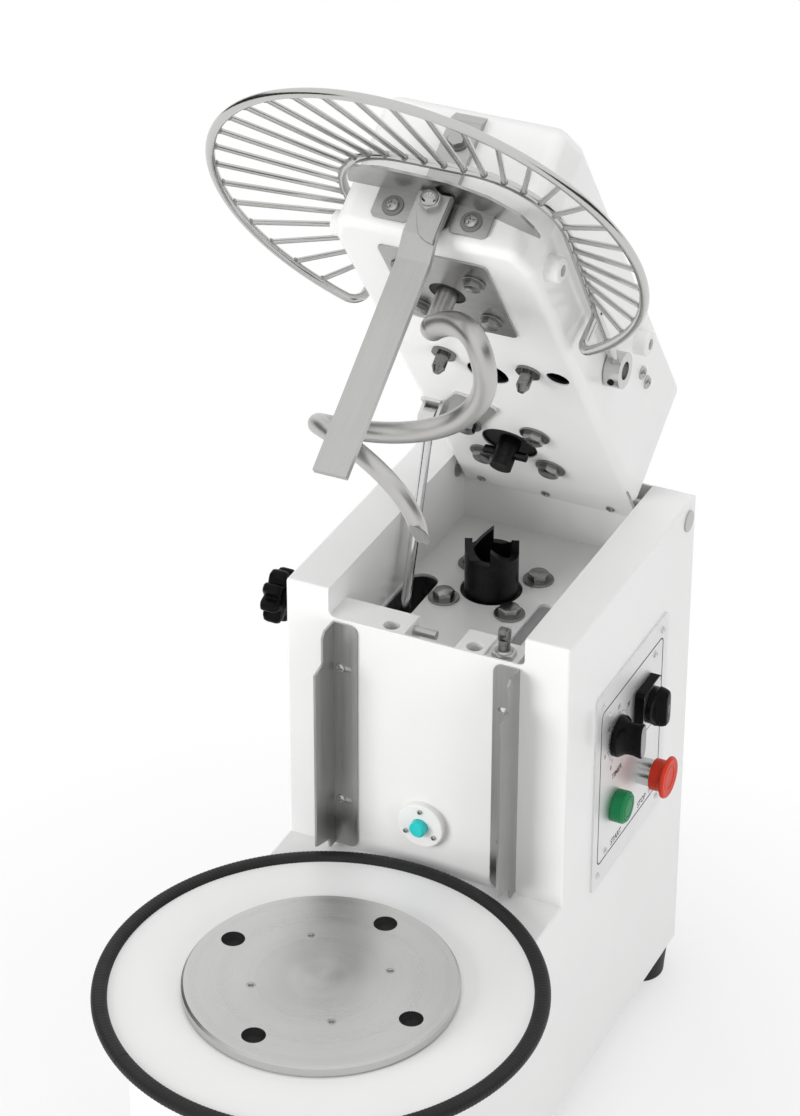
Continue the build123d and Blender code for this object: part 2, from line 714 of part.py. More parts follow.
def turntable_disc():
    """Stainless disc with four seats for the bowl's pegs."""
    disc = upright(0, 0, (DISC_LOW, DISC_TOP), DISC_R)
    disc = chamfer(disc.edges().group_by(Axis.Z)[-1], DISC_EDGE)
    for x, y in ring_points(SEAT_CIRCLE_R, SEAT_COUNT, SEAT_ANGLE):
        disc -= upright(x, y, (DISC_LOW, DISC_TOP), SEAT_HOLE_R)
    for x, y in ring_points(DISC_SCREW_R, DISC_SCREW_COUNT, DISC_SCREW_ANGLE):
        disc -= upright(x, y, (DISC_LOW, DISC_TOP), DISC_SCREW_SHANK_R + RUN_FIT)
        disc -= upright(x, y, (DISC_TOP - DISC_SCREW_HEAD_H, DISC_TOP), DISC_SCREW_HEAD_R + RUN_FIT)
    return disc


def disc_screws():
    """Flush screws that hold the disc on its hub."""
    screws = []
    for x, y in ring_points(DISC_SCREW_R, DISC_SCREW_COUNT, DISC_SCREW_ANGLE):
        head = upright(x, y, (DISC_TOP - DISC_SCREW_HEAD_H, DISC_TOP), DISC_SCREW_HEAD_R)
        screws.append(head + upright(x, y, (DISC_TOP - DISC_SCREW_SHANK, DISC_TOP), DISC_SCREW_SHANK_R))
    return group(screws)


def turntable_hub():
    """Flange under the disc with its vertical shaft."""
    hub = upright(0, 0, (DISC_LOW - HUB_T, DISC_LOW), HUB_R)
    hub += upright(0, 0, (FLOOR_IN + SHAFT_FOOT, DISC_LOW), TURNTABLE_SHAFT_R)
    depth = (DISC_TOP - DISC_SCREW_SHANK - LOOSE, DISC_LOW)
    for x, y in ring_points(DISC_SCREW_R, DISC_SCREW_COUNT, DISC_SCREW_ANGLE):
        hub -= upright(x, y, depth, DISC_SCREW_SHANK_R + RUN_FIT)
    return hub


def flange_bearings():
    """Bearings of the main shaft and of the turntable, upper and lower."""
    hang = Rot(180, 0, 0)
    main = flange_bearing(MAIN_SHAFT_R)
    turn = flange_bearing(TURNTABLE_SHAFT_R)
    return group([
        Pos(MAIN_X, MAIN_Y, DECK_LOW) * hang * main,
        Pos(MAIN_X, MAIN_Y, FLOOR_IN) * main,
        Pos(0, 0, BASE_TOP - SHEET) * hang * turn,
        Pos(0, 0, FLOOR_IN) * turn,
    ])


def gearmotor():
    """Motor on a gear housing, with its output shaft beside it."""
    top = SHELF_Z[1] + GEARBOX_H
    body = block(GEARBOX_X, GEARBOX_Y, (SHELF_Z[1], top))
    body += upright(*MOTOR_AT, (top, top + MOTOR_LENGTH), MOTOR_R)
    return body + upright(*OUTPUT_AT, (top, DRIVE_Z + SPROCKET_T + SHAFT_FOOT), OUTPUT_R)


def base_chains():
    """Drive chain from the gearmotor and chain to the turntable."""
    main = (MAIN_X, MAIN_Y)
    drive = chain(OUTPUT_AT, MOTOR_TEETH, main, MAIN_TEETH, DRIVE_Z)
    return group([drive, chain(main, PINION_TEETH, (0, 0), BOWL_TEETH, BOWL_CHAIN_Z)])


def main_shaft():
    """Vertical shaft that carries the drive up to the coupling."""
    return upright(MAIN_X, MAIN_Y, (FLOOR_IN + SHAFT_FOOT, CLAW_FLOOR - SHAFT_FOOT), MAIN_SHAFT_R)


def main_sprockets():
    """Driven sprocket and bowl pinion on the main shaft."""
    at = Pos(MAIN_X, MAIN_Y)
    driven = at * Pos(0, 0, DRIVE_Z) * sprocket(MAIN_TEETH, MAIN_SHAFT_R)
    return group([driven, at * Pos(0, 0, BOWL_CHAIN_Z) * sprocket(PINION_TEETH, MAIN_SHAFT_R)])


def lower_coupling():
    """Claw coupling on top of the main shaft; each claw has a steep flank and a ramp."""
    body = upright(0, 0, (CLAW_FOOT, CLAW_TOP), CLAW_R)
    body -= upright(0, 0, (CLAW_FOOT, CLAW_FLOOR - SHAFT_FOOT), MAIN_SHAFT_R + RUN_FIT)
    body -= upright(0, 0, (CLAW_FLOOR, CLAW_TOP), CLAW_BORE_R)
    reach = 2 * CLAW_R
    ramp_foot = (CLAW_TOP - CLAW_LOW) / tan(radians(CLAW_SLOPE_ANGLE))
    gap = [(0, CLAW_TOP), (ramp_foot, CLAW_LOW), (reach, CLAW_LOW), (reach, CLAW_TOP)]
    gap = extrude(Plane.YZ * make_face(Polyline(*gap, close=True)), reach)
    for turn in range(CLAW_COUNT):
        body -= Rot(0, 0, CLAW_FLANK_ANGLE + 360.0 / CLAW_COUNT * turn) * gap
    return Pos(MAIN_X, MAIN_Y, 0) * body


def guide_screw_points():
    """Seats of the screws that hold the bowl guides."""
    y = COLUMN_FRONT - GUIDE_T
    return [(side * GUIDE_SCREW_X, y, z) for side in (-1, 1) for z in GUIDE_SCREW_Z]


def bowl_guides():
    """Two stainless angles on the column's front, mirror images of each other."""
    face = COLUMN_FRONT
    flat_x = (GUIDE_OUTER - GUIDE_FLAT, GUIDE_OUTER)
    thick = (face - GUIDE_T, face)
    flat = block(flat_x, thick, (GUIDE_FOOT, GUIDE_TOP))
    flat = fillet(flat.edges().filter_by(Axis.Y).group_by(Axis.X)[0], GUIDE_CORNER_R)
    wing = [
        (face, GUIDE_TOP),
        (face - GUIDE_WING_TOP + GUIDE_CHAMFER, GUIDE_TOP),
        (face - GUIDE_WING_TOP, GUIDE_TOP - GUIDE_CHAMFER),
        (face - GUIDE_WING_TOP, GUIDE_STEP_Z),
        (face - GUIDE_WING, GUIDE_STEP_Z - GUIDE_STEP_SLOPE),
        (face - GUIDE_WING, GUIDE_FOOT + GUIDE_WING_RISE),
        (face - GUIDE_TIP_WIDTH - GUIDE_T, GUIDE_FOOT + GUIDE_NOTCH_RISE),
        (face - GUIDE_TIP_WIDTH, GUIDE_FOOT),
        (face, GUIDE_FOOT),
    ]
    sheet = extrude(Plane.YZ * make_face(Polyline(*wing, close=True)), GUIDE_T)
    right = flat + Pos(GUIDE_OUTER - GUIDE_T, 0, 0) * sheet
    half = GUIDE_SLOT / 2
    ends = (GUIDE_SLOT_X[0] + half, GUIDE_SLOT_X[1] - half)
    for z in GUIDE_SCREW_Z:
        right -= block(ends, thick, (z - half, z + half))
        right -= [lengthwise(x, thick, z, half) for x in ends]
    return group([right, mirror(right, Plane.YZ)])


def sensor_screw_points(y):
    """Screw places round the bowl sensor at a depth."""
    places = ring_points(SENSOR_SCREW_R, SENSOR_SCREW_COUNT, SENSOR_SCREW_ANGLE, (SENSOR_X, SENSOR_Z))
    return [(x, y, z) for x, z in places]


def sensor_flange():
    """Round flange that guides the bowl sensor's button."""
    front = COLUMN_FRONT - SENSOR_T
    flange = lengthwise(SENSOR_X, (front, COLUMN_FRONT), SENSOR_Z, SENSOR_R)
    flange = fillet(flange.edges().group_by(Axis.Y)[0], SHEET)
    flange -= lengthwise(SENSOR_X, (front, COLUMN_FRONT), SENSOR_Z, BUTTON_R + SLIDE_FIT)
    return flange - [screw_hole(at, (0, -1, 0)) for at in sensor_screw_points(front)]


def sensor_button():
    """Button that the bowl presses."""
    front = COLUMN_FRONT - SENSOR_T - BUTTON_OUT
    button = lengthwise(SENSOR_X, (front, FRONT_IN + BUTTON_BACK), SENSOR_Z, BUTTON_R)
    return chamfer(button.edges().group_by(Axis.Y)[0], SHEET)


def panel_screw_points():
    """Screws at the corners and inside the border of the control panel."""
    points = []
    for inset in PLATE_SCREW_EDGES:
        for y in (PLATE_Y[0] + inset, PLATE_Y[1] - inset):
            for z in (PLATE_Z[0] + inset, PLATE_Z[1] - inset):
                points.append((PLATE_OUT, y, z))
    return points


def panel_plate():
    """Control panel plate on the right side."""
    plate = block((HALF_WIDTH, PLATE_OUT), PLATE_Y, PLATE_Z)
    plate = fillet(plate.edges().filter_by(Axis.X), PLATE_CORNER_R)
    for y, z in (TIMER_AT, SELECTOR_AT, ESTOP_AT, START_AT):
        plate -= crosswise((HALF_WIDTH, PLATE_OUT), y, z, TAIL_R + SLIDE_FIT)
    return plate - [screw_hole(at, (1, 0, 0)) for at in panel_screw_points()]


def grip_knob(at, base, radius, length, grip):
    """Turning knob: a round skirt with a straight grip across it and a spindle behind."""
    y, z = at
    skirt_end = base + length / 2
    knob = crosswise((base, skirt_end), y, z, radius)
    bar = block((skirt_end, base + length), (y - grip / 2, y + grip / 2), (z - radius, z + radius))
    knob += bar & crosswise((skirt_end, base + length), y, z, radius)
    return knob + crosswise((SIDE_IN - TAIL_LENGTH, base), y, z, SPINDLE_R)


def timer_knob():
    """Knob of the timer."""
    return grip_knob(TIMER_AT, PLATE_OUT + LOOSE, TIMER_R, TIMER_LENGTH, TIMER_GRIP)


def selector_plate():
    """Square body of the selector switch."""
    y, z = SELECTOR_AT
    half = SELECTOR_PLATE / 2
    out = PLATE_OUT + SELECTOR_PLATE_T
    plate = block((PLATE_OUT, out), (y - half, y + half), (z - half, z + half))
    plate = fillet(plate.edges().filter_by(Axis.X), PLATE_CORNER_R)
    return plate - crosswise((PLATE_OUT, out), y, z, SPINDLE_R + RUN_FIT)


def selector_knob():
    """Knob of the selector switch."""
    base = PLATE_OUT + SELECTOR_PLATE_T + LOOSE
    return grip_knob(SELECTOR_AT, base, SELECTOR_R, SELECTOR_LENGTH, SELECTOR_GRIP)


def collar(at, radius, length, bore_r, bore_depth):
    """Collar of a push button with a threaded tail through the side."""
    y, z = at
    end = PLATE_OUT + length
    body = crosswise((PLATE_OUT, end), y, z, radius)
    body += crosswise((SIDE_IN - TAIL_LENGTH, PLATE_OUT), y, z, TAIL_R)
    return body - crosswise((end - bore_depth, end), y, z, bore_r)


def button_collars():
    """Collars of the emergency stop and of the start button."""
    stop_r, stop_length = ESTOP_COLLAR
    start_r, start_length = START_COLLAR
    stop = collar(ESTOP_AT, stop_r, stop_length, ESTOP_STEM_R + SLIDE_FIT, stop_length - SHEET)
    start = collar(START_AT, start_r, start_length, START_R + SLIDE_FIT, start_length - SHEET)
    return group([stop, start])


def estop_button():
    """Mushroom button on its stem: a hollow skirt over the collar and a flared rim."""
    y, z = ESTOP_AT
    end = PLATE_OUT + ESTOP_COLLAR[1]
    skirt = end - ESTOP_LAP
    face = skirt + ESTOP_CAP
    inner, outer = ESTOP_SKIRT
    profile = [
        (end - ESTOP_STEM, 0),
        (end - ESTOP_STEM, ESTOP_STEM_R),
        (skirt + ESTOP_CUP, ESTOP_STEM_R),
        (skirt + ESTOP_CUP, inner),
        (skirt, inner),
        (skirt, outer),
        (skirt + ESTOP_CUP, outer),
        (face - ESTOP_RIM, ESTOP_R),
        (face - LOOSE, ESTOP_R),
        (face, ESTOP_R - LOOSE),
        (face, 0),
    ]
    return Pos(0, y, z) * revolve(make_face(Polyline(*profile, close=True)), Axis.X)


def start_button():
    """Push button inside its collar."""
    y, z = START_AT
    end = PLATE_OUT + START_COLLAR[1] + START_PROUD
    return crosswise((end - START_DEPTH, end), y, z, START_R)


def ledge_blocks():
    """Blocks behind the front panel's lip that seat the head's dowels; the right one carries the switch."""
    y = (FRONT_IN, FRONT_IN + LEDGE_DEPTH)
    left = block((-RECESS_HALF, LEDGE_LEFT_END), y, (LEDGE_FOOT, LIP_Z))
    left -= crosswise((-RECESS_HALF, LEDGE_LEFT_END), LOCK_Y, LOCK_Z, LOCK_R + RUN_FIT)
    right = block(LEDGE_RIGHT, y, (LEDGE_FOOT, LIP_Z))
    right += block((LEDGE_RIGHT[1], LEDGE_STEP_END), y, (LEDGE_FOOT, LEDGE_STEP_Z))
    right -= upright(SWITCH_X, SWITCH_Y, (LEDGE_FOOT, LEDGE_STEP_Z), SWITCH_R + RUN_FIT)
    seats = [upright(x, DOWEL_Y, (LEDGE_FOOT, LIP_Z), DOWEL_HOLE_R) for x in DOWEL_X]
    return group([left - seats[0], right - seats[1]])


def limit_switch():
    """Threaded switch barrel with its nut on the right ledge."""
    body = upright(SWITCH_X, SWITCH_Y, (SWITCH_LOW, HEAD_UNDER + SWITCH_RISE), SWITCH_R)
    body += Pos(SWITCH_X, SWITCH_Y, LEDGE_STEP_Z) * hexagon(SWITCH_NUT_AF, SWITCH_NUT_H)
    depth = (LEDGE_FOOT, HEAD_UNDER + SWITCH_RISE)
    return body - upright(SWITCH_X, SWITCH_Y, depth, SWITCH_STEM_R + SLIDE_FIT)


def switch_plunger():
    """Plunger with a small roller on top."""
    top = HEAD_UNDER + SWITCH_RISE + SWITCH_STEM
    stem = upright(SWITCH_X, SWITCH_Y, (LEDGE_FOOT + SWITCH_STEM, top), SWITCH_STEM_R)
    roller_x = (SWITCH_X - SWITCH_ROLLER_T / 2, SWITCH_X + SWITCH_ROLLER_T / 2)
    return stem + crosswise(roller_x, SWITCH_Y, top, SWITCH_ROLLER_R)


def lock_pin():
    """Pin that slides through the left wall and ledge block."""
    return crosswise((LOCK_KNOB_IN, LOCK_TIP), LOCK_Y, LOCK_Z, LOCK_R)


def lock_knob():
    """Lobed hand knob on the lock pin's outer end."""
    lobes = [Pos(x, y) * Circle(LOCK_LOBE_R) for x, y in ring_points(LOCK_KNOB_R - LOCK_LOBE_R, LOCK_LOBES)]
    star = Circle(LOCK_KNOB_R - LOCK_LOBE_R) + lobes
    head = extrude(star, LOCK_KNOB_T)
    knob = Pos(LOCK_KNOB_IN - LOCK_KNOB_T, LOCK_Y, LOCK_Z) * Rot(0, 90, 0) * head
    neck_x = (LOCK_KNOB_IN, -HALF_WIDTH - LOOSE)
    neck = crosswise(neck_x, LOCK_Y, LOCK_Z, LOCK_NECK_R)
    return knob + neck - crosswise(neck_x, LOCK_Y, LOCK_Z, LOCK_R + RUN_FIT)


def body_fasteners():
    """Deck bolts and the screws of the guides, sensor, control panel and rear panel."""
    bolt = hex_bolt(DECK_T + BEARING_T)
    pieces = [Pos(x, y, DECK_Z) * bolt for x, y in square_points(MAIN_X, MAIN_Y, BOLT_HALF)]
    pieces += [screw(at, (0, -1, 0), length=GUIDE_SCREW_LENGTH) for at in guide_screw_points()]
    pieces += [screw(at, (0, -1, 0), SENSOR_HEAD_R) for at in sensor_screw_points(COLUMN_FRONT - SENSOR_T)]
    pieces += [screw(at, (1, 0, 0), SENSOR_HEAD_R) for at in panel_screw_points()]
    pieces += [screw(at, (0, 1, 0)) for at in rear_screw_points()]
    return group(pieces)


def head_plan(inset):
    """Plan of the head, drawn in by an inset, with slanted front corners."""
    half = HEAD_HALF - inset
    front = HEAD_FRONT + inset
    slant = hypot(HEAD_NOSE_IN, HEAD_NOSE_BACK)
    back_shift = inset * (slant - HEAD_NOSE_IN) / HEAD_NOSE_BACK if inset else 0.0
    side_shift = inset * (slant - HEAD_NOSE_BACK) / HEAD_NOSE_IN if inset else 0.0
    shoulder = (half, HEAD_FRONT + HEAD_NOSE_BACK + side_shift)
    nose = (HEAD_HALF - HEAD_NOSE_IN - back_shift, front)
    return mirrored([(half, HEAD_BACK - inset), shoulder, nose])


def head_cover():
    """Pressed cover of the head, with rounded edges and a lip round its opening below."""
    cover = prism(head_plan(0), (HEAD_UNDER, HEAD_TOP))
    cover = fillet(cover.edges().filter_by(Axis.Z).sort_by(Axis.Y)[:2], HEAD_NOSE_R)
    cover = fillet(cover.edges().group_by(Axis.Z)[-1], HEAD_EDGE_R)
    cover = fillet(cover.edges().group_by(Axis.Z)[0].sort_by(Axis.Y)[:-1], HEAD_LOW_R)
    inside = prism(head_plan(HEAD_SHEET), (HEAD_DECK, HEAD_TOP - HEAD_SHEET))
    inside = fillet(inside.edges().filter_by(Axis.Z).sort_by(Axis.Y)[:2], HEAD_NOSE_R - HEAD_SHEET)
    inside = fillet(inside.edges().group_by(Axis.Z)[-1], HEAD_EDGE_R - HEAD_SHEET)
    half = HEAD_HALF - HEAD_SHEET
    rear_y = (HEAD_BACK - 2 * HEAD_LIP, HEAD_BACK + HEAD_SHEET)
    cover -= inside
    cover -= prism(head_plan(HEAD_LIP), (HEAD_UNDER, HEAD_DECK))
    cover -= block((-half, half), rear_y, (HEAD_UNDER, HEAD_DECK))
    cover -= crosswise((-HEAD_HALF, HEAD_HALF), PIVOT_Y, PIVOT_Z, PIVOT_R + RUN_FIT)
    return cover - [screw_hole(at, (0, -1, 0)) for at in front_screw_points()]


def head_base_plate():
    """Plate that closes the head below and reaches back under the hinge shaft."""
    depth = (HEAD_UNDER, HEAD_DECK)
    plate = prism(head_plan(HEAD_LIP), depth)
    plate += block((-TONGUE_HALF, TONGUE_HALF), (HEAD_BACK - 2 * HEAD_LIP, HINGE_Y + TONGUE_OVER), depth)
    plate -= upright(SPIRAL_X, SPIRAL_Y, depth, SPIRAL_HOLE_R)
    plate -= upright(MAIN_X, MAIN_Y, depth, COUPLING_HOLE_R)
    plate -= upright(SWITCH_X, SWITCH_Y, depth, SWITCH_HOLE_R)
    plate -= upright(*LATCH_HOLE[:2], depth, LATCH_HOLE[2])
    plate -= bolt_holes(SPIRAL_X, SPIRAL_Y, depth) + bolt_holes(MAIN_X, MAIN_Y, depth)
    return plate - [screw_hole(at, (0, 0, -1)) for at in hinge_screw_points()]


def hinge_screw_points():
    """Seats of the screws that hold the base plate to the hinge shaft."""
    return [(x, HINGE_Y, HEAD_UNDER) for x in HINGE_SCREW_X]


def hinge_shaft():
    """Hinge shaft across the column, milled flat where the base plate seats."""
    end = HALF_WIDTH + HINGE_PROUD
    shaft = crosswise((-end, end), HINGE_Y, HINGE_Z, HINGE_R)
    flat_x = (-RECESS_HALF + LOOSE, RECESS_HALF - LOOSE)
    shaft -= block(flat_x, (HINGE_Y - HINGE_R, HINGE_Y + HINGE_R), (HINGE_Z - HINGE_R, HEAD_DECK))
    return shaft - [screw_hole(at, (0, 0, -1)) for at in hinge_screw_points()]


def spiral_plate():
    """Stainless plate under the head round the spiral's shaft."""
    z = (HEAD_UNDER - SPIRAL_PLATE_T, HEAD_UNDER)
    plate = block((-SPIRAL_PLATE_HALF, SPIRAL_PLATE_HALF), SPIRAL_PLATE_Y, z)
    plate = fillet(plate.edges().filter_by(Axis.Z), SPIRAL_PLATE_R)
    return plate - upright(SPIRAL_X, SPIRAL_Y, z, SPIRAL_HOLE_R) - bolt_holes(SPIRAL_X, SPIRAL_Y, z)


def front_screw_points():
    """Seats of the screws on the head's front: bracket tabs and top strap."""
    tabs = [(TAB_MID + side * TAB_HALF_SPAN, TAB_FACE, TAB_SCREW_Z) for side in (-1, 1)]
    return tabs + [(sum(STRAP_X) / 2, HEAD_FRONT - STRAP_T, STRAP_SCREW_Z)]


def bar_bolt_point():
    """Seat of the bolt that holds the breaker bar."""
    return (BAR_X, BAR_SEAT, BAR_TOP - BAR_BOLT_DROP)


def head_fasteners():
    """Bearing bolts under the head, hinge screws and front screws."""
    down = Rot(180, 0, 0)
    bolt = hex_bolt(BOLT_SHANK)
    under = HEAD_UNDER - SPIRAL_PLATE_T
    pieces = [Pos(x, y, under) * down * bolt for x, y in square_points(SPIRAL_X, SPIRAL_Y, BOLT_HALF)]
    clamped, *plain = square_points(MAIN_X, MAIN_Y, BOLT_HALF)
    pieces.append(Pos(*clamped, HEAD_UNDER - BRACKET_T) * down * bolt)
    pieces += [Pos(x, y, HEAD_UNDER) * down * bolt for x, y in plain]
    pieces += [screw(at, (0, 0, -1)) for at in hinge_screw_points()]
    pieces += [screw(at, (0, -1, 0)) for at in front_screw_points()]
    x, y, z = bar_bolt_point()
    pieces.append(Pos(x, y, z) * Rot(90, 0, 0) * hexagon(BOLT_HEAD_AF, BOLT_HEAD_H))
    return group(pieces)


def head_bearings():
    """Flange bearings on the head's base plate for the spiral and the coupling shaft."""
    spiral_unit = flange_bearing(SPIRAL_SHAFT_R)
    coupling_unit = flange_bearing(MAIN_SHAFT_R)
    return group([
        Pos(SPIRAL_X, SPIRAL_Y, HEAD_DECK) * spiral_unit,
        Pos(MAIN_X, MAIN_Y, HEAD_DECK) * coupling_unit,
    ])


def head_chain():
    """Chain inside the head from the coupling shaft to the spiral."""
    return chain((MAIN_X, MAIN_Y), COUPLING_TEETH, (SPIRAL_X, SPIRAL_Y), SPIRAL_TEETH, HEAD_CHAIN_Z)


def coupling_shaft():
    """Upper coupling shaft that drops into the claws."""
    top = HEAD_CHAIN_Z + SPROCKET_T + SHAFT_OVER
    shaft = upright(MAIN_X, MAIN_Y, (COUPLING_SHAFT_TIP, top), MAIN_SHAFT_R)
    return shaft - crosswise((MAIN_X - PIN_LENGTH, MAIN_X + PIN_LENGTH), MAIN_Y, PIN_Z, PIN_R + RUN_FIT)


def coupling_pin():
    """Cross pin that the claws drive."""
    half = PIN_LENGTH / 2
    return crosswise((MAIN_X - half, MAIN_X + half), MAIN_Y, PIN_Z, PIN_R)


def spiral_path():
    """Points, tangents and rod radii along the spiral, from its neck to past its tip."""
    turn = radians(SPIRAL_START_ANGLE)
    drop = SPIRAL_PITCH / (2 * pi)
    start = Vector(0, 0, SPIRAL_NECK)
    join = Vector(SPIRAL_R * cos(turn), SPIRAL_R * sin(turn), SPIRAL_SHOULDER)
    along = Vector(-SPIRAL_R * sin(turn), SPIRAL_R * cos(turn), -drop).normalized()
    leave = radians(SPIRAL_NECK_ANGLE)
    away = Vector(cos(leave), sin(leave), SPIRAL_NECK_RISE)
    neck = [start, start + away * SPIRAL_PULL[0], join - along * SPIRAL_PULL[1], join]
    stations = []
    for i in range(NECK_COUNT):
        t = i / NECK_COUNT
        u = 1 - t
        point = neck[0] * u ** 3 + neck[1] * (3 * u * u * t) + neck[2] * (3 * u * t * t) + neck[3] * t ** 3
        slope = (neck[1] - neck[0]) * u * u + (neck[2] - neck[1]) * (2 * u * t) + (neck[3] - neck[2]) * t * t
        stations.append((point, slope))
    for i in range(COIL_COUNT + 1):
        angle = turn + (radians(SPIRAL_END_ANGLE) - turn) * i / COIL_COUNT
        point = Vector(SPIRAL_R * cos(angle), SPIRAL_R * sin(angle), SPIRAL_SHOULDER - drop * (angle - turn))
        stations.append((point, Vector(-SPIRAL_R * sin(angle), SPIRAL_R * cos(angle), -drop)))
    last = len(stations) - 1
    thick, thin = SPIRAL_ROD
    return [(at, slope, thick + (thin - thick) * i / last) for i, (at, slope) in enumerate(stations)]


def spiral():
    """Tapering spiral and its shaft in one piece, with a round elbow and the tip cut level."""
    sections = []
    side = Vector(0, 0, 1)
    for point, slope, radius in spiral_path():
        along = slope.normalized()
        side = (side - along * side.dot(along)).normalized()
        sections.append(Plane(origin=point, x_dir=side, z_dir=along) * Circle(radius))
    rod = loft(sections)
    rod -= block((-HEAD_HALF, HEAD_HALF), (-HEAD_HALF, HEAD_HALF), (0, SPIRAL_TIP))
    top = HEAD_CHAIN_Z + SPROCKET_T + SHAFT_OVER
    shaft = upright(0, 0, (SPIRAL_NECK, top), SPIRAL_SHAFT_R)
    elbow = Pos(0, 0, SPIRAL_NECK) * Sphere(SPIRAL_ROD[0] + SLIDE_FIT)
    return Pos(SPIRAL_X, SPIRAL_Y, 0) * (rod + elbow + shaft)


def dowels():
    """Locating dowels under the head."""
    pieces = []
    for x in DOWEL_X:
        shoulder = HEAD_UNDER - DOWEL_LENGTH + DOWEL_TIP
        pin = upright(x, DOWEL_Y, (shoulder, HEAD_UNDER), DOWEL_R)
        tip = Cone(DOWEL_R / 2, DOWEL_R, DOWEL_TIP, align=(MID, MID, HIGH))
        pin += Pos(x, DOWEL_Y, shoulder) * tip
        pieces.append(pin + upright(x, DOWEL_Y, (HEAD_UNDER - DOWEL_COLLAR_T, HEAD_UNDER), DOWEL_COLLAR_R))
    return group(pieces)


def breaker_bar():
    """Flat bar that hangs in front of the spiral, set back below the spacer that it is bolted on."""
    levels = [BAR_TOP] + [HEAD_UNDER - drop for drop in BAR_SET_DROP] + [BAR_FOOT]
    face = [(BAR_SEAT + back, z) for back, z in zip((0.0, 0.0, *BAR_SET_BACK), levels)]
    rear = [(y + BAR_T, z) for y, z in reversed(face)]
    section = make_face(Polyline(*face, *rear, close=True))
    bar = Pos(BAR_X - BAR_WIDTH / 2, 0, 0) * extrude(Plane.YZ * section, BAR_WIDTH)
    width, depth, height = BAR_SPACER
    x = (BAR_X - width / 2, BAR_X + width / 2)
    return bar + block(x, (TAB_FACE - depth, TAB_FACE), (BAR_TOP - height, BAR_TOP))


def rail_band(thickness):
    """Band across the head's front, a thickness deep below the rail's drooping top face."""
    top = [(x, RAIL_TOP - droop) for x, droop in RAIL_DROOP]
    low = [(x, z - thickness) for x, z in reversed(top)]
    face = make_face(Polyline(*top, *low, close=True))
    return Pos(0, HEAD_FRONT, 0) * extrude(Plane.XZ * face, HEAD_FRONT - RAIL_PLAN[-1][1])


def guard_rail():
    """Bent bracket on the head's front: a drooping shelf with three tabs bent down."""
    outline = mirrored([(RAIL_PLAN[0][0], HEAD_FRONT)] + RAIL_PLAN)
    shelf = Pos(RAIL_SHIFT, 0, 0) * prism(outline, (TAB_FOOT, RAIL_TOP)) & rail_band(RAIL_T)
    middles = (TAB_MID - TAB_HALF_SPAN, BAR_X, TAB_MID + TAB_HALF_SPAN)
    for middle, width in zip(middles, (TAB_WIDTH, BAR_WIDTH, TAB_WIDTH)):
        x = (middle - width / 2, middle + width / 2)
        tab = block(x, (TAB_FACE, HEAD_FRONT), (TAB_FOOT, RAIL_TOP))
        tab = fillet(tab.edges().filter_by(Axis.Y).group_by(Axis.Z)[0], TAB_CORNER_R)
        shelf += tab & rail_band(RAIL_RISE)
    return shelf - [screw_hole(at, (0, -1, 0)) for at in front_screw_points()[:2]]


def top_strap():
    """Thick strap down the head's front, with a sloped upper end."""
    face = HEAD_FRONT - STRAP_T
    bend, end = (HEAD_TOP - drop for drop in STRAP_SLOPE)
    corners = [(HEAD_FRONT, STRAP_FOOT), (face, STRAP_FOOT), (face, bend), (HEAD_FRONT, end)]
    section = make_face(Polyline(*corners, close=True))
    strap = Pos(STRAP_X[0], 0, 0) * extrude(Plane.YZ * section, STRAP_X[1] - STRAP_X[0])
    return strap - screw_hole(front_screw_points()[2], (0, -1, 0))


def bumpers():
    """Round rubber bumpers on the head's sides."""
    pieces = []
    for side in (-1, 1):
        for y, rise in (BUMPER_FRONT, BUMPER_REAR):
            x = (side * HEAD_HALF, side * (HEAD_HALF + BUMPER_LENGTH))
            piece = crosswise(x, y, HEAD_UNDER + rise, BUMPER_R)
            outer = piece.edges().sort_by(Axis.X)[-1 if side > 0 else 0]
            cup = (x[1] - side * BUMPER_CUP, x[1])
            pieces.append(fillet(outer, BUMPER_EDGE) - crosswise(cup, y, HEAD_UNDER + rise, BUMPER_CUP_R))
    return group(pieces)


def tilted(shape):
    """Tilt a level piece of the guard up to its resting slope."""
    return swing(shape, PIVOT_Y, PIVOT_Z, -GUARD_TILT_ANGLE)


def rod(start, end, radius):
    """Round rod between two points."""
    start, end = Vector(*start), Vector(*end)
    bar = Cylinder(radius, (end - start).length, align=(MID, MID, LOW))
    return Plane(origin=start, z_dir=end - start).location * bar


def outer_point(angle):
    """Point on the guard's outer hoop, at an angle from the front."""
    turn = radians(angle)
    return (GUARD_R * sin(turn), GUARD_CENTRE_Y - GUARD_R * cos(turn), GUARD_LOW)


def inner_point(distance):
    """Point on the right half of the guard's inner hoop, at a distance along it from the front."""
    straight = GUARD_HALF - GUARD_CORNER_R
    bend = GUARD_CORNER_R * pi / 2
    if distance <= straight:
        return (distance, GUARD_FRONT, GUARD_HIGH)
    if distance <= straight + bend:
        turn = (distance - straight) / GUARD_CORNER_R
        x = straight + GUARD_CORNER_R * sin(turn)
        return (x, GUARD_FRONT + GUARD_CORNER_R * (1 - cos(turn)), GUARD_HIGH)
    return (GUARD_HALF, GUARD_FRONT + GUARD_CORNER_R + distance - straight - bend, GUARD_HIGH)


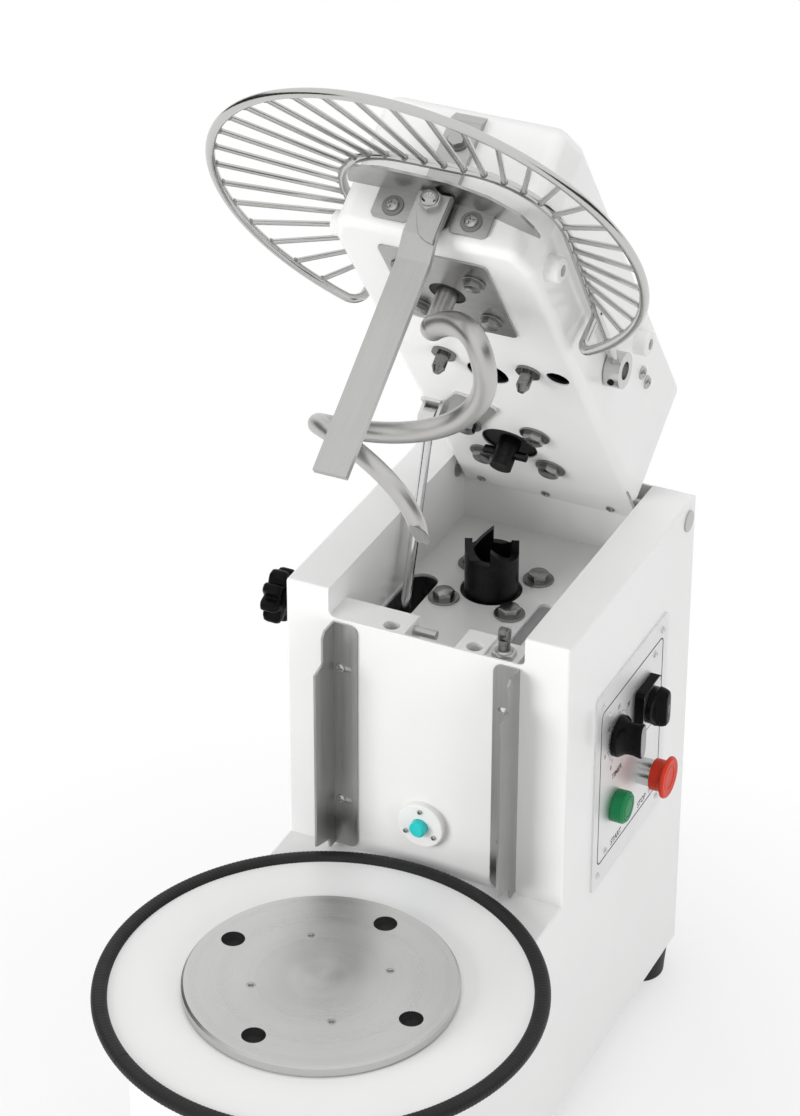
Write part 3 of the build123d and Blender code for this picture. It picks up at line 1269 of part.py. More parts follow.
def guard_hoop_path():
    """Centre line of the outer hoop, bent up at both ends to meet the arms."""
    corner = Vector(*outer_point(GUARD_END_ANGLE))
    high = Vector(GUARD_HALF, GUARD_BACK, GUARD_HIGH)
    rise = (high - corner).normalized()
    bend = degrees(GUARD_BEND / GUARD_R)
    arc_end = GUARD_END_ANGLE - bend
    meet = Vector(*outer_point(arc_end))
    slope = Vector(cos(radians(arc_end)), sin(radians(arc_end)), 0)
    ease = GUARD_BEND / 2
    turn = [meet, meet + slope * ease, corner + rise * ease, corner + rise * GUARD_BEND]

    def other_side(point):
        return Vector(-point.X, point.Y, point.Z)

    hoop = CenterArc((0, 0), GUARD_R, 270 - arc_end, 2 * arc_end)
    right = [Bezier(*turn), Line(turn[-1], high)]
    left = [Line(other_side(high), other_side(turn[-1])), Bezier(*[other_side(at) for at in reversed(turn)])]
    return Wire(left + [Pos(0, GUARD_CENTRE_Y, GUARD_LOW) * hoop] + right)


def guard_arm_path():
    """Centre line of the inner hoop and the arms that run back to the pivot collars."""
    collar_mid = sum(COLLAR_X) / 2
    right = [
        (GUARD_HALF, GUARD_FRONT, GUARD_HIGH),
        (GUARD_HALF, GUARD_BACK, GUARD_HIGH),
        (collar_mid, PIVOT_Y - COLLAR_R + GUARD_ROD_R, PIVOT_Z),
    ]
    left = [(-x, y, z) for x, y, z in reversed(right)]
    return FilletPolyline(*left, *right, radius=GUARD_CORNER_R)


def guard_frame():
    """Outer hoop, inner hoop and arms, bent from round rod and welded where they meet."""
    frame = None
    for path in (guard_arm_path(), guard_hoop_path()):
        bent = sweep(Plane(origin=path @ 0, z_dir=path % 0) * Circle(GUARD_ROD_R), path)
        frame = bent if frame is None else frame + bent
    for side in (-1, 1):
        frame += Pos(side * GUARD_HALF, GUARD_BACK, GUARD_HIGH) * Sphere(GUARD_WELD_R)
    return tilted(frame)


def guard_bars():
    """Thin radial bars between the two hoops."""
    bars = []
    for i in range(BARS_PER_SIDE):
        low = Vector(*outer_point(BAR_ANGLE * (i + 0.5)))
        high = Vector(*inner_point(BAR_STEP * (i + 0.5)))
        lean = (high - low).normalized() * (GUARD_ROD_R - WELD)
        start, end = low + lean, high - lean
        for side in (-1, 1):
            bars.append(rod((side * start.X, start.Y, start.Z), (side * end.X, end.Y, end.Z), BAR_ROD_R))
    return tilted(group(bars))


def guard_collars():
    """Collars that clamp the guard's arms on the pivot shaft."""
    pieces = []
    for side in (-1, 1):
        x = (side * COLLAR_X[0], side * COLLAR_X[1])
        piece = crosswise(x, PIVOT_Y, PIVOT_Z, COLLAR_R) - crosswise(x, PIVOT_Y, PIVOT_Z, PIVOT_R + RUN_FIT)
        arm_x = side * sum(COLLAR_X) / 2
        high = (side * GUARD_HALF, GUARD_BACK, GUARD_HIGH)
        arm_end = (arm_x, PIVOT_Y - COLLAR_R + GUARD_ROD_R, PIVOT_Z)
        pieces.append(piece - rod(high, arm_end, GUARD_ROD_R + RUN_FIT))
    return tilted(group(pieces))


def guard_shaft():
    """Pivot shaft across the head."""
    half = COLLAR_X[1] - GUARD_SHAFT_SHORT
    return tilted(crosswise((-half, half), PIVOT_Y, PIVOT_Z, PIVOT_R))


def spring_axis():
    """Local frame of the gas spring: origin at its upper eye, Z along it, and its length with the head up."""
    top = raised(Vertex(SPRING_X, *SPRING_TOP)).center()
    foot_at = Vector(SPRING_X, *SPRING_FOOT)
    along = foot_at - top
    return Plane(origin=top, x_dir=(1, 0, 0), z_dir=along).location, along.length


def spring_rod():
    """Gas spring rod with its eye and piston."""
    place, _ = spring_axis()
    half = EYE_WIDTH / 2
    piece = upright(0, 0, (0, ROD_LENGTH), ROD_R) + crosswise((-half, half), 0, 0, EYE_R)
    piece += upright(0, 0, (ROD_LENGTH - PISTON_T, ROD_LENGTH), PISTON_R)
    return place * (piece - crosswise((-half, half), 0, 0, EYE_PIN_R + RUN_FIT))


def spring_tube():
    """Gas spring cylinder with its gland and lower eye."""
    place, length = spring_axis()
    half = EYE_WIDTH / 2
    top = length - TUBE_LENGTH
    floor = length - TUBE_FLOOR
    piece = upright(0, 0, (top, length), TUBE_R) - upright(0, 0, (top, floor), ROD_R + RUN_FIT)
    piece -= upright(0, 0, (top + TUBE_GLAND, floor), TUBE_BORE_R)
    piece -= crosswise((-TUBE_R, -half), 0, length, TUBE_R) + crosswise((half, TUBE_R), 0, length, TUBE_R)
    piece += crosswise((-half, half), 0, length, EYE_R)
    return place * piece


def spring_upper_bracket():
    """Bracket with two ears and a pin under the head; one bearing bolt clamps its plate."""
    y, z = SPRING_TOP
    outer = EYE_WIDTH / 2 + LOOSE + EAR_T
    depth = (HEAD_UNDER - BRACKET_T, HEAD_UNDER)
    piece = prism(BRACKET_PLAN, depth)
    piece = fillet(piece.edges().filter_by(Axis.Z), EAR_R)
    piece += block((SPRING_X - outer, SPRING_X + outer), (y - 2 * EAR_R, y + 2 * EAR_R), depth)
    piece -= bolt_holes(MAIN_X, MAIN_Y, depth)[0]
    for side in (-1, 1):
        x = (SPRING_X + side * outer, SPRING_X + side * (outer - EAR_T))
        piece += block(x, (y - EAR_R, y + EAR_R), (z, HEAD_UNDER)) + crosswise(x, y, z, EAR_R)
    return piece + crosswise((SPRING_X - outer, SPRING_X + outer), y, z, EYE_PIN_R)


def spring_lower_bracket():
    """Stud on the left wall beside the gas spring's lower eye."""
    y, z = SPRING_FOOT
    half = FOOT_PLATE / 2
    plate = block((-SIDE_IN, -SIDE_IN + BRACKET_T), (y - half, y + half), (z - half, z + half))
    return plate + crosswise((-SIDE_IN, SPRING_X - EYE_WIDTH / 2 - STUD_GAP), y, z, STUD_R)


FIXED = {
    "cabinet": cabinet(),
    "rear_panel": rear_panel(),
    "cable_gland": cable_gland(),
    "bottom_plate": bottom_plate(),
    "feet": group([foot(x, y) for x, y in foot_points()]),
    "deck_plate": deck_plate(),
    "platform": platform(),
    "edge_trim": edge_trim(),
    "bowl_guides": bowl_guides(),
    "sensor_flange": sensor_flange(),
    "panel_plate": panel_plate(),
    "selector_plate": selector_plate(),
    "button_collars": button_collars(),
    "ledge_blocks": ledge_blocks(),
    "limit_switch": limit_switch(),
    "body_fasteners": body_fasteners(),
    "flange_bearings": flange_bearings(),
    "gearmotor": gearmotor(),
    "base_chains": base_chains(),
    "spring_lower_bracket": spring_lower_bracket(),
    "main_shaft": main_shaft(),
    "main_sprockets": main_sprockets(),
    "lower_coupling": lower_coupling(),
    "motor_sprocket": Pos(*OUTPUT_AT, DRIVE_Z) * sprocket(MOTOR_TEETH, OUTPUT_R),
    "turntable_disc": turntable_disc(),
    "turntable_hub": turntable_hub(),
    "disc_screws": disc_screws(),
    "bowl_sprocket": Pos(0, 0, BOWL_CHAIN_Z) * sprocket(BOWL_TEETH, TURNTABLE_SHAFT_R),
    "sensor_button": sensor_button(),
    "timer_knob": timer_knob(),
    "selector_knob": selector_knob(),
    "estop_button": estop_button(),
    "start_button": start_button(),
    "switch_plunger": switch_plunger(),
    "lock_pin": lock_pin(),
    "lock_knob": lock_knob(),
    "spring_rod": spring_rod(),
    "spring_tube": spring_tube(),
}

HEAD = {
    "head_cover": head_cover(),
    "head_base_plate": head_base_plate(),
    "hinge_shaft": hinge_shaft(),
    "spiral_plate": spiral_plate(),
    "head_fasteners": head_fasteners(),
    "head_bearings": head_bearings(),
    "head_chain": head_chain(),
    "dowels": dowels(),
    "breaker_bar": breaker_bar(),
    "guard_rail": guard_rail(),
    "top_strap": top_strap(),
    "bumpers": bumpers(),
    "spring_upper_bracket": spring_upper_bracket(),
    "coupling_shaft": coupling_shaft(),
    "coupling_pin": coupling_pin(),
    "coupling_sprocket": Pos(MAIN_X, MAIN_Y, HEAD_CHAIN_Z) * sprocket(COUPLING_TEETH, MAIN_SHAFT_R),
    "spiral": spiral(),
    "spiral_sprocket": Pos(SPIRAL_X, SPIRAL_Y, HEAD_CHAIN_Z) * sprocket(SPIRAL_TEETH, SPIRAL_SHAFT_R),
    "guard_frame": guard_frame(),
    "guard_bars": guard_bars(),
    "guard_collars": guard_collars(),
    "guard_shaft": guard_shaft(),
}

os.makedirs("parts", exist_ok=True)
NODES = dict(FIXED)
NODES.update({name: raised(piece) for name, piece in HEAD.items()})
for name, piece in NODES.items():
    export_step(Pos(0, -ORIGIN_Y, 0) * piece, os.path.join("parts", name + ".step"))
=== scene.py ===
"""Looks of a spiral dough mixer with a lifting head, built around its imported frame."""

import logging
import math
from dataclasses import dataclass, field
from enum import Enum
from typing import Iterable, Optional, Sequence

import bmesh
import bpy
import numpy as np
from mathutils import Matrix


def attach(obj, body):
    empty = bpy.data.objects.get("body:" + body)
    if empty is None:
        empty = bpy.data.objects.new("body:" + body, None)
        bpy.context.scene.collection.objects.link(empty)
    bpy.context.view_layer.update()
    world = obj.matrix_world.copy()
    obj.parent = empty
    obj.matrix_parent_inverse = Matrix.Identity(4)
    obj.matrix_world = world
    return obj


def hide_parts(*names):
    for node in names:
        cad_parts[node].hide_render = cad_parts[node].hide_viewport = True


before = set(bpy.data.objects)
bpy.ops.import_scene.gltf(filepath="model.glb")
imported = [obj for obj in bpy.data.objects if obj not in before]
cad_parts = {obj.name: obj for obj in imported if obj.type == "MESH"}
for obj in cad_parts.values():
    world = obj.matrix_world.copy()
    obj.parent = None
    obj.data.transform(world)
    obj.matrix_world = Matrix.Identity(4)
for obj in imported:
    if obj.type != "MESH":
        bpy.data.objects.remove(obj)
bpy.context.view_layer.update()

LOG = logging.getLogger("mixer")

MM = 0.001
ORIGIN_Y = 178.3
HINGE = (471.2, 499.2)
HEAD_LIFT = math.radians(54.32)
PIVOT = (262.0, 535.0)
GUARD_TILT = math.radians(2.25)
HEAD_UNDER = 493.4

Points = np.ndarray
Pair = tuple[float, float]
Spot = tuple[float, float, float]
Socket = bpy.types.NodeSocket
ShaderNode = bpy.types.Node
Tree = bpy.types.NodeTree
Material = bpy.types.Material
Colour = Spot


def turned(points: Points, centre: Pair, angle: float) -> Points:
    """Turn points about a line along X.

    Args:
        points: Points in millimetres.
        centre: Y and Z of the line.
        angle: Angle in radians, positive from Y towards Z.

    Returns:
        The turned points.
    """
    y = points[:, 1] - centre[0]
    z = points[:, 2] - centre[1]
    c, s = math.cos(angle), math.sin(angle)
    return np.stack([points[:, 0], centre[0] + y * c - z * s, centre[1] + y * s + z * c], axis=1)


class Place(Enum):
    """Which part of the machine a piece is drawn on, and so how it comes to rest."""

    STANDING = "standing"
    HEAD = "head"
    GUARD = "guard"

    def to_row(self, points: Points) -> Points:
        """Bring drawn points to the row frame.

        Args:
            points: Points in millimetres, with the head drawn lowered and the guard drawn level.

        Returns:
            Points in metres in the row frame.
        """
        moved = np.asarray(points, dtype=float)
        if self is Place.GUARD:
            moved = turned(moved, PIVOT, -GUARD_TILT)
        if self is not Place.STANDING:
            moved = turned(moved, HINGE, -HEAD_LIFT)
        return (moved - np.array([0.0, ORIGIN_Y, 0.0])) * MM


@dataclass
class Surface:
    """Points in millimetres with the quads and triangles between them."""

    points: Points
    quads: np.ndarray = field(default_factory=lambda: np.zeros((0, 4), dtype=int))
    tris: np.ndarray = field(default_factory=lambda: np.zeros((0, 3), dtype=int))

    def moved(self, frame_axes: Points, at: Sequence[float]) -> "Surface":
        """Copy of the surface with its X, Y and Z laid along the rows of a frame and then shifted."""
        return Surface(self.points @ np.asarray(frame_axes) + np.asarray(at, dtype=float), self.quads,
                       self.tris)


def joined(surfaces: Iterable[Surface]) -> Surface:
    """One surface of several, each keeping its own shell."""
    parts = list(surfaces)
    starts = np.cumsum([0] + [len(part.points) for part in parts[:-1]])
    return Surface(
        np.concatenate([part.points for part in parts]),
        np.concatenate([part.quads + start for part, start in zip(parts, starts)]),
        np.concatenate([part.tris + start for part, start in zip(parts, starts)]),
    )


def skin(rings: Points, first: Optional[Sequence[float]] = None, last: Optional[Sequence[float]] = None,
         loop: bool = False) -> Surface:
    """Closed skin over a row of rings: quad (i, j) joins points j and j + 1 of rings i and i + 1.

    Args:
        rings: Array of rings by points by three coordinates.
        first: Point that closes the first ring with a fan.
        last: Point that closes the last ring with a fan.
        loop: Whether the last ring joins on to the first.

    Returns:
        The surface.
    """
    rows, count, _ = rings.shape
    index = np.arange(rows * count).reshape(rows, count)
    after = np.roll(index, -1, axis=1)
    upper = np.roll(index, -1, axis=0) if loop else index[1:]
    upper_after = np.roll(after, -1, axis=0) if loop else after[1:]
    span = rows if loop else rows - 1
    quads = np.stack([index[:span], after[:span], upper_after, upper], axis=-1).reshape(-1, 4)
    points = rings.reshape(-1, 3)
    tris = []
    if first is not None:
        pole = np.full(count, len(points))
        points = np.vstack([points, first])
        tris.append(np.stack([pole, after[0], index[0]], axis=1))
    if last is not None:
        pole = np.full(count, len(points))
        points = np.vstack([points, last])
        tris.append(np.stack([pole, index[-1], after[-1]], axis=1))
    fans = np.concatenate(tris) if tris else np.zeros((0, 3), dtype=int)
    return Surface(points, quads, fans)


def circle(count: int) -> tuple[np.ndarray, np.ndarray]:
    """Cosines and sines of evenly spaced angles round a full turn."""
    angle = np.linspace(0.0, 2 * math.pi, count, endpoint=False)
    return np.cos(angle), np.sin(angle)


def lathe(profile: Sequence[Pair], count: int = 48) -> Surface:
    """Turned solid about Z: point (i, j) is (r_i cos a_j, r_i sin a_j, z_i), closed flat at both ends.

    Args:
        profile: Radius and height of each ring, from the low end to the high end.
        count: Points round each ring.

    Returns:
        The surface.
    """
    r, z = np.asarray(profile, dtype=float).T
    c, s = circle(count)
    rings = np.stack([np.outer(r, c), np.outer(r, s), np.repeat(z[:, None], count, axis=1)], axis=-1)
    return skin(rings, (0.0, 0.0, z[0]), (0.0, 0.0, z[-1]))


def turned_ring(profile: Sequence[Pair], count: int = 96) -> Surface:
    """Ring about Z: a closed profile of radius and height carried once round, so that it has no ends."""
    r, z = np.asarray(profile, dtype=float).T
    c, s = circle(count)
    rings = np.stack([np.outer(c, r), np.outer(s, r), np.repeat(z[None, :], count, axis=0)], axis=-1)
    return skin(rings, loop=True)


def unit(vectors: Points) -> Points:
    """Vectors along the last axis scaled to length one."""
    return vectors / np.linalg.norm(vectors, axis=-1, keepdims=True)


def tube(path: Points, radius: np.ndarray | float, beside: Points, count: int = 24) -> Surface:
    """Round rod along a path: ring i is path_i + radius_i (n_i cos a + b_i sin a).

    n is the part of the side vector that is square to the path, and b is square to both.

    Args:
        path: Points of the centre line.
        radius: Radius at each point, or one for all.
        beside: Side vector, or one for each point, never along the path.
        count: Points round each ring.

    Returns:
        The surface, closed flat at both ends.
    """
    along = unit(np.gradient(path, axis=0))
    side = np.broadcast_to(np.asarray(beside, dtype=float), path.shape)
    normal = unit(side - along * np.sum(side * along, axis=1, keepdims=True))
    across = np.cross(along, normal)
    size = np.broadcast_to(np.asarray(radius, dtype=float), len(path))[:, None, None]
    c, s = circle(count)
    rings = path[:, None] + size * (normal[:, None] * c[None, :, None] + across[:, None] * s[None, :, None])
    return skin(rings, path[0], path[-1])


def axes_along(toward: Sequence[float]) -> Points:
    """Frame whose third row looks along a direction, and whose first row is level where it can be."""
    z = unit(np.asarray(toward, dtype=float))
    level = np.cross((0.0, 0.0, 1.0), z)
    x = unit(level) if np.linalg.norm(level) > 1e-6 else np.array([1.0, 0.0, 0.0])
    return np.stack([x, np.cross(z, x), z])


def piece(name: str, shape: Surface, place: Place, body: str, material: Material,
          stands_for: Sequence[str] = (), sharp: float = 35.0) -> bpy.types.Object:
    """Make a piece of a surface, at the origin with its place in its mesh, and hang it on a body.

    Args:
        name: Name of the piece.
        shape: Its surface in millimetres.
        place: Where it was drawn.
        body: Body of the frame that it rides on.
        material: Its finish.
        stands_for: Nodes of the frame that it replaces.
        sharp: Angle in degrees past which an edge stays sharp.

    Returns:
        The object.
    """
    mesh = bpy.data.meshes.new(name)
    mesh.from_pydata(place.to_row(shape.points), [], shape.quads.tolist() + shape.tris.tolist())
    shell = bmesh.new()
    shell.from_mesh(mesh)
    bmesh.ops.recalc_face_normals(shell, faces=shell.faces)
    shell.to_mesh(mesh)
    shell.free()
    mesh.shade_smooth()
    mesh.set_sharp_from_angle(angle=math.radians(sharp))
    mesh.materials.append(material)
    made = bpy.data.objects.new(name, mesh)
    bpy.context.scene.collection.objects.link(made)
    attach(made, body)
    if stands_for:
        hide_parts(*stands_for)
    LOG.info("%s: %d points on %s", name, len(shape.points), body)
    return made


class Graph:
    """Node tree of a material or a group, with short calls to add and join nodes."""

    def __init__(self, tree: Tree) -> None:
        """Keep the tree."""
        self.tree = tree

    def add(self, kind: str, links: Optional[dict] = None, **values: object) -> ShaderNode:
        """Add a node.

        Args:
            kind: Type of the node without its ShaderNode prefix.
            links: Input names or numbers with the sockets or values that feed them.
            **values: Properties of the node.

        Returns:
            The node.
        """
        name = kind if kind.startswith("Node") else "ShaderNode" + kind
        node = self.tree.nodes.new(name)
        for key, value in values.items():
            setattr(node, key, value)
        for key, value in (links or {}).items():
            if isinstance(value, Socket):
                self.tree.links.new(value, node.inputs[key])
            else:
                node.inputs[key].default_value = value
        return node

    def math(self, operation: str, first: object, second: object = 0.0) -> Socket:
        """Result of one sum of two sockets or numbers."""
        return self.add("Math", {0: first, 1: second}, operation=operation).outputs[0]

    def blend(self, amount: object, low: object, high: object) -> Socket:
        """Colour between two, by an amount from 0 to 1."""
        node = self.add("Mix", {0: amount, 6: low, 7: high}, data_type="RGBA")
        return node.outputs[2]

    def range(self, value: object, low: float, high: float, start: float = 0.0, end: float = 1.0) -> Socket:
        """Value carried from one range to another and held at its ends."""
        links = {"Value": value, "From Min": start, "From Max": end, "To Min": low, "To Max": high}
        return self.add("MapRange", links).outputs[0]


def effect(name: str, inputs: dict[str, float], outputs: Sequence[str]) -> tuple[Tree, Graph, dict, dict]:
    """Start a shader node group with a vector input, number inputs and number outputs.

    Args:
        name: Name of the group.
        inputs: Number inputs and their first values.
        outputs: Number outputs.

    Returns:
        The group, its graph, its input sockets and its output sockets by name.
    """
    tree = bpy.data.node_groups.new(name, "ShaderNodeTree")
    tree.interface.new_socket("Vector", in_out="INPUT", socket_type="NodeSocketVector")
    for key, value in inputs.items():
        tree.interface.new_socket(key, in_out="INPUT", socket_type="NodeSocketFloat").default_value = value
    for key in outputs:
        tree.interface.new_socket(key, in_out="OUTPUT", socket_type="NodeSocketFloat")
    graph = Graph(tree)
    entry = graph.add("NodeGroupInput")
    leave = graph.add("NodeGroupOutput")
    taken = {socket.name: socket for socket in entry.outputs if socket.name}
    given = {socket.name: socket for socket in leave.inputs if socket.name}
    return tree, graph, taken, given


class Effects:
    """Shader node groups that several finishes share."""

    def __init__(self) -> None:
        """Build each group once."""
        self.skin = self._skin()
        self.brush = self._brush()
        self.smudge = self._smudge()

    def _skin(self) -> Tree:
        """Cured coat: a fine ripple for the bump and a broad mottle for tone."""
        tree, graph, taken, given = effect("coat_skin", {"Ripple": 900.0, "Mottle": 14.0}, ("Height", "Tone"))
        fine = graph.add("TexNoise", {"Vector": taken["Vector"], "Scale": taken["Ripple"], "Detail": 2.0})
        broad = graph.add("TexNoise", {"Vector": taken["Vector"], "Scale": taken["Mottle"], "Detail": 4.0})
        tree.links.new(fine.outputs[0], given["Height"])
        tree.links.new(broad.outputs[0], given["Tone"])
        return tree

    def _brush(self) -> Tree:
        """Brushed metal: long thin streaks along X of the vector, in two widths."""
        tree, graph, taken, given = effect("brush_lines", {"Density": 1600.0, "Stretch": 60.0},
                                           ("Lines", "Bands"))
        shrink = graph.math("DIVIDE", 1.0, taken["Stretch"])
        scale = graph.add("CombineXYZ", {0: shrink, 1: 1.0, 2: 1.0}).outputs[0]
        flat = graph.add("VectorMath", {0: taken["Vector"], 1: scale}, operation="MULTIPLY").outputs[0]
        fine = graph.add("TexNoise",
                         {"Vector": flat, "Scale": taken["Density"], "Detail": 3.0, "Roughness": 0.7})
        wide = graph.math("MULTIPLY", taken["Density"], 0.12)
        bands = graph.add("TexNoise", {"Vector": flat, "Scale": wide, "Detail": 2.0})
        tree.links.new(fine.outputs[0], given["Lines"])
        tree.links.new(bands.outputs[0], given["Bands"])
        return tree

    def _smudge(self) -> Tree:
        """Handling marks: soft patches broken up by a finer noise."""
        tree, graph, taken, given = effect("handling", {"Size": 30.0, "Amount": 1.0}, ("Mask",))
        patch = graph.add("TexNoise",
                          {"Vector": taken["Vector"], "Scale": taken["Size"], "Detail": 6.0,
                           "Roughness": 0.65})
        soft = graph.range(patch.outputs[0], 0.0, 1.0, 0.42, 0.72)
        tree.links.new(graph.math("MULTIPLY", soft, taken["Amount"]), given["Mask"])
        return tree


def rgb(colour: Colour) -> tuple[float, float, float, float]:
    """Colour with full alpha."""
    return (*colour, 1.0)


def shade(colour: Colour, factor: float) -> tuple[float, float, float, float]:
    """Colour made darker or lighter by a factor, with full alpha."""
    return (*(min(1.0, part * factor) for part in colour), 1.0)


@dataclass(frozen=True)
class Finish:
    """A finish: its name, its colour and how rough it is."""

    name: str
    colour: Colour
    roughness: float

    def start(self, turn: Sequence[float] = (0.0, 0.0, 0.0)) -> tuple[Material, Graph, ShaderNode, Socket]:
        """Make the material, its Principled shader and a turned vector of Object coordinates."""
        material = bpy.data.materials.new(self.name)
        material.use_nodes = True
        graph = Graph(material.node_tree)
        shader = material.node_tree.nodes["Principled BSDF"]
        vector = graph.add("TexCoord").outputs["Object"]
        if any(turn):
            vector = graph.add("Mapping", {"Vector": vector, "Rotation": tuple(turn)}).outputs[0]
        shader.inputs["Base Color"].default_value = rgb(self.colour)
        shader.inputs["Roughness"].default_value = self.roughness
        return material, graph, shader, vector

    def group(self, graph: Graph, tree: Tree, vector: Socket, **values: float) -> ShaderNode:
        """Place a shared effect and set its inputs."""
        node = graph.add("Group", node_tree=tree)
        graph.tree.links.new(vector, node.inputs["Vector"])
        for key, value in values.items():
            node.inputs[key].default_value = value
        return node

    def feed(self, graph: Graph, shader: ShaderNode, name: str, socket: Socket) -> None:
        """Join a socket to an input of the shader."""
        graph.tree.links.new(socket, shader.inputs[name])

    def bump(self, graph: Graph, shader: ShaderNode, height: Socket, strength: float,
             distance: float) -> None:
        """Give the shader a bump of a height, with its depth in metres."""
        node = graph.add("Bump", {"Height": height, "Strength": strength, "Distance": distance})
        graph.tree.links.new(node.outputs[0], shader.inputs["Normal"])


@dataclass(frozen=True)
class Paint(Finish):
    """Sprayed and cured coat with a faint orange peel."""

    gloss: float = 0.25
    peel: float = 0.12
    metallic: float = 0.0

    def build(self, effects: Effects) -> Material:
        """Make the material."""
        material, graph, shader, vector = self.start()
        coat = self.group(graph, effects.skin, vector, Ripple=520.0, Mottle=9.0)
        marks = self.group(graph, effects.smudge, vector, Size=22.0, Amount=0.5)
        tone = graph.range(coat.outputs["Tone"], 0.0, 1.0, 0.3, 0.7)
        self.feed(graph, shader, "Base Color",
                  graph.blend(tone, shade(self.colour, 0.975), shade(self.colour, 1.0)))
        rough = graph.math("MULTIPLY_ADD", marks.outputs["Mask"], 0.1)
        rough.node.inputs[2].default_value = self.roughness
        self.feed(graph, shader, "Roughness", rough)
        self.bump(graph, shader, coat.outputs["Height"], self.peel, 0.0004)
        shader.inputs["Coat Weight"].default_value = self.gloss
        shader.inputs["Coat Roughness"].default_value = 0.08
        shader.inputs["Metallic"].default_value = self.metallic
        return material


@dataclass(frozen=True)
class Steel(Finish):
    """Bare or plated metal with brushing along one direction."""

    turn: Spot = (0.0, 0.0, 0.0)
    density: float = 900.0
    stretch: float = 60.0
    streak: float = 0.12
    smudge: float = 0.6
    grain: float = 0.08
    vary: float = 1.0

    def build(self, effects: Effects) -> Material:
        """Make the material."""
        material, graph, shader, vector = self.start(self.turn)
        lines = self.group(graph, effects.brush, vector, Density=self.density, Stretch=self.stretch)
        marks = self.group(graph, effects.smudge, vector, Size=18.0, Amount=self.smudge)
        both = graph.math("ADD", graph.math("MULTIPLY", lines.outputs["Lines"], 0.65),
                          graph.math("MULTIPLY", lines.outputs["Bands"], 0.35))
        tone = graph.range(both, 0.0, 1.0, 0.32, 0.68)
        low = shade(self.colour, 1.0 - self.streak)
        high = shade(self.colour, 1.0 + self.streak)
        dulled = graph.blend(graph.math("MULTIPLY", marks.outputs["Mask"], 0.35),
                             graph.blend(tone, low, high), shade(self.colour, 0.86))
        self.feed(graph, shader, "Base Color", dulled)
        base = graph.range(tone, self.roughness - 0.05 * self.vary, self.roughness + 0.07 * self.vary)
        self.feed(graph, shader, "Roughness",
                  graph.math("ADD", base, graph.math("MULTIPLY", marks.outputs["Mask"], 0.1)))
        if self.grain:
            self.bump(graph, shader, lines.outputs["Lines"], self.grain, 0.0002)
        shader.inputs["Metallic"].default_value = 1.0
        return material


@dataclass(frozen=True)
class TurnedSteel(Finish):
    """Lathe-turned steel: fine rings about an upright axis and a highlight that fans out from it."""

    centre: Pair = (0.0, 0.0)
    pitch: float = 0.0009
    anisotropy: float = 0.75

    def build(self, effects: Effects) -> Material:
        """Make the material; the rings are a noise of the distance from the axis."""
        material, graph, shader, vector = self.start()
        shift = graph.add("VectorMath", {0: vector, 1: (-self.centre[0], -self.centre[1], 0.0)}).outputs[0]
        flat = graph.add("VectorMath", {0: shift, 1: (1.0, 1.0, 0.0)}, operation="MULTIPLY").outputs[0]
        reach = graph.add("VectorMath", {0: flat}, operation="LENGTH").outputs["Value"]
        rings = graph.add("TexNoise",
                          {"W": reach, "Scale": 1.0 / self.pitch, "Detail": 4.0, "Roughness": 0.75},
                          noise_dimensions="1D")
        bands = graph.add("TexNoise", {"W": reach, "Scale": 0.06 / self.pitch, "Detail": 2.0},
                          noise_dimensions="1D")
        marks = self.group(graph, effects.smudge, vector, Size=15.0, Amount=0.6)
        both = graph.math("ADD", graph.math("MULTIPLY", rings.outputs[0], 0.6),
                          graph.math("MULTIPLY", bands.outputs[0], 0.4))
        tone = graph.range(both, 0.0, 1.0, 0.3, 0.7)
        self.feed(graph, shader, "Base Color",
                  graph.blend(tone, shade(self.colour, 0.9), shade(self.colour, 1.08)))
        base = graph.range(tone, self.roughness - 0.04, self.roughness + 0.06)
        self.feed(graph, shader, "Roughness",
                  graph.math("ADD", base, graph.math("MULTIPLY", marks.outputs["Mask"], 0.06)))
        self.bump(graph, shader, rings.outputs[0], 0.06, 0.0002)
        shader.inputs["Metallic"].default_value = 1.0
        shader.inputs["Anisotropic"].default_value = self.anisotropy
        tangent = graph.add("Tangent", direction_type="RADIAL", axis="Z")
        graph.tree.links.new(tangent.outputs[0], shader.inputs["Tangent"])
        return material


@dataclass(frozen=True)
class Plastic(Finish):
    """Moulded plastic or rubber with a fine tooled grain."""

    grain: float = 0.1
    pitch: float = 1400.0
    specular: float = 0.5
    tone: float = 0.12

    def build(self, effects: Effects) -> Material:
        """Make the material."""
        material, graph, shader, vector = self.start()
        coat = self.group(graph, effects.skin, vector, Ripple=self.pitch, Mottle=35.0)
        marks = self.group(graph, effects.smudge, vector, Size=45.0, Amount=0.7)
        tone = graph.range(coat.outputs["Tone"], 0.0, 1.0, 0.3, 0.7)
        plain = graph.blend(tone, shade(self.colour, 1.0 - self.tone), shade(self.colour, 1.0 + self.tone))
        self.feed(graph, shader, "Base Color", plain)
        rough = graph.math("MULTIPLY_ADD", marks.outputs["Mask"], 0.12)
        rough.node.inputs[2].default_value = self.roughness
        self.feed(graph, shader, "Roughness", rough)
        self.bump(graph, shader, coat.outputs["Height"], self.grain, 0.0003)
        shader.inputs["Specular IOR Level"].default_value = self.specular
        return material


HEAD_TURN = (HEAD_LIFT, 0.0, 0.0)
UPRIGHT = (0.0, math.pi / 2, 0.0)
ALONG_PANEL = (0.0, 0.0, math.pi / 2)
SMOOTH = {"density": 260.0, "stretch": 1.0, "streak": 0.01, "grain": 0.0, "smudge": 0.0, "vary": 0.1}


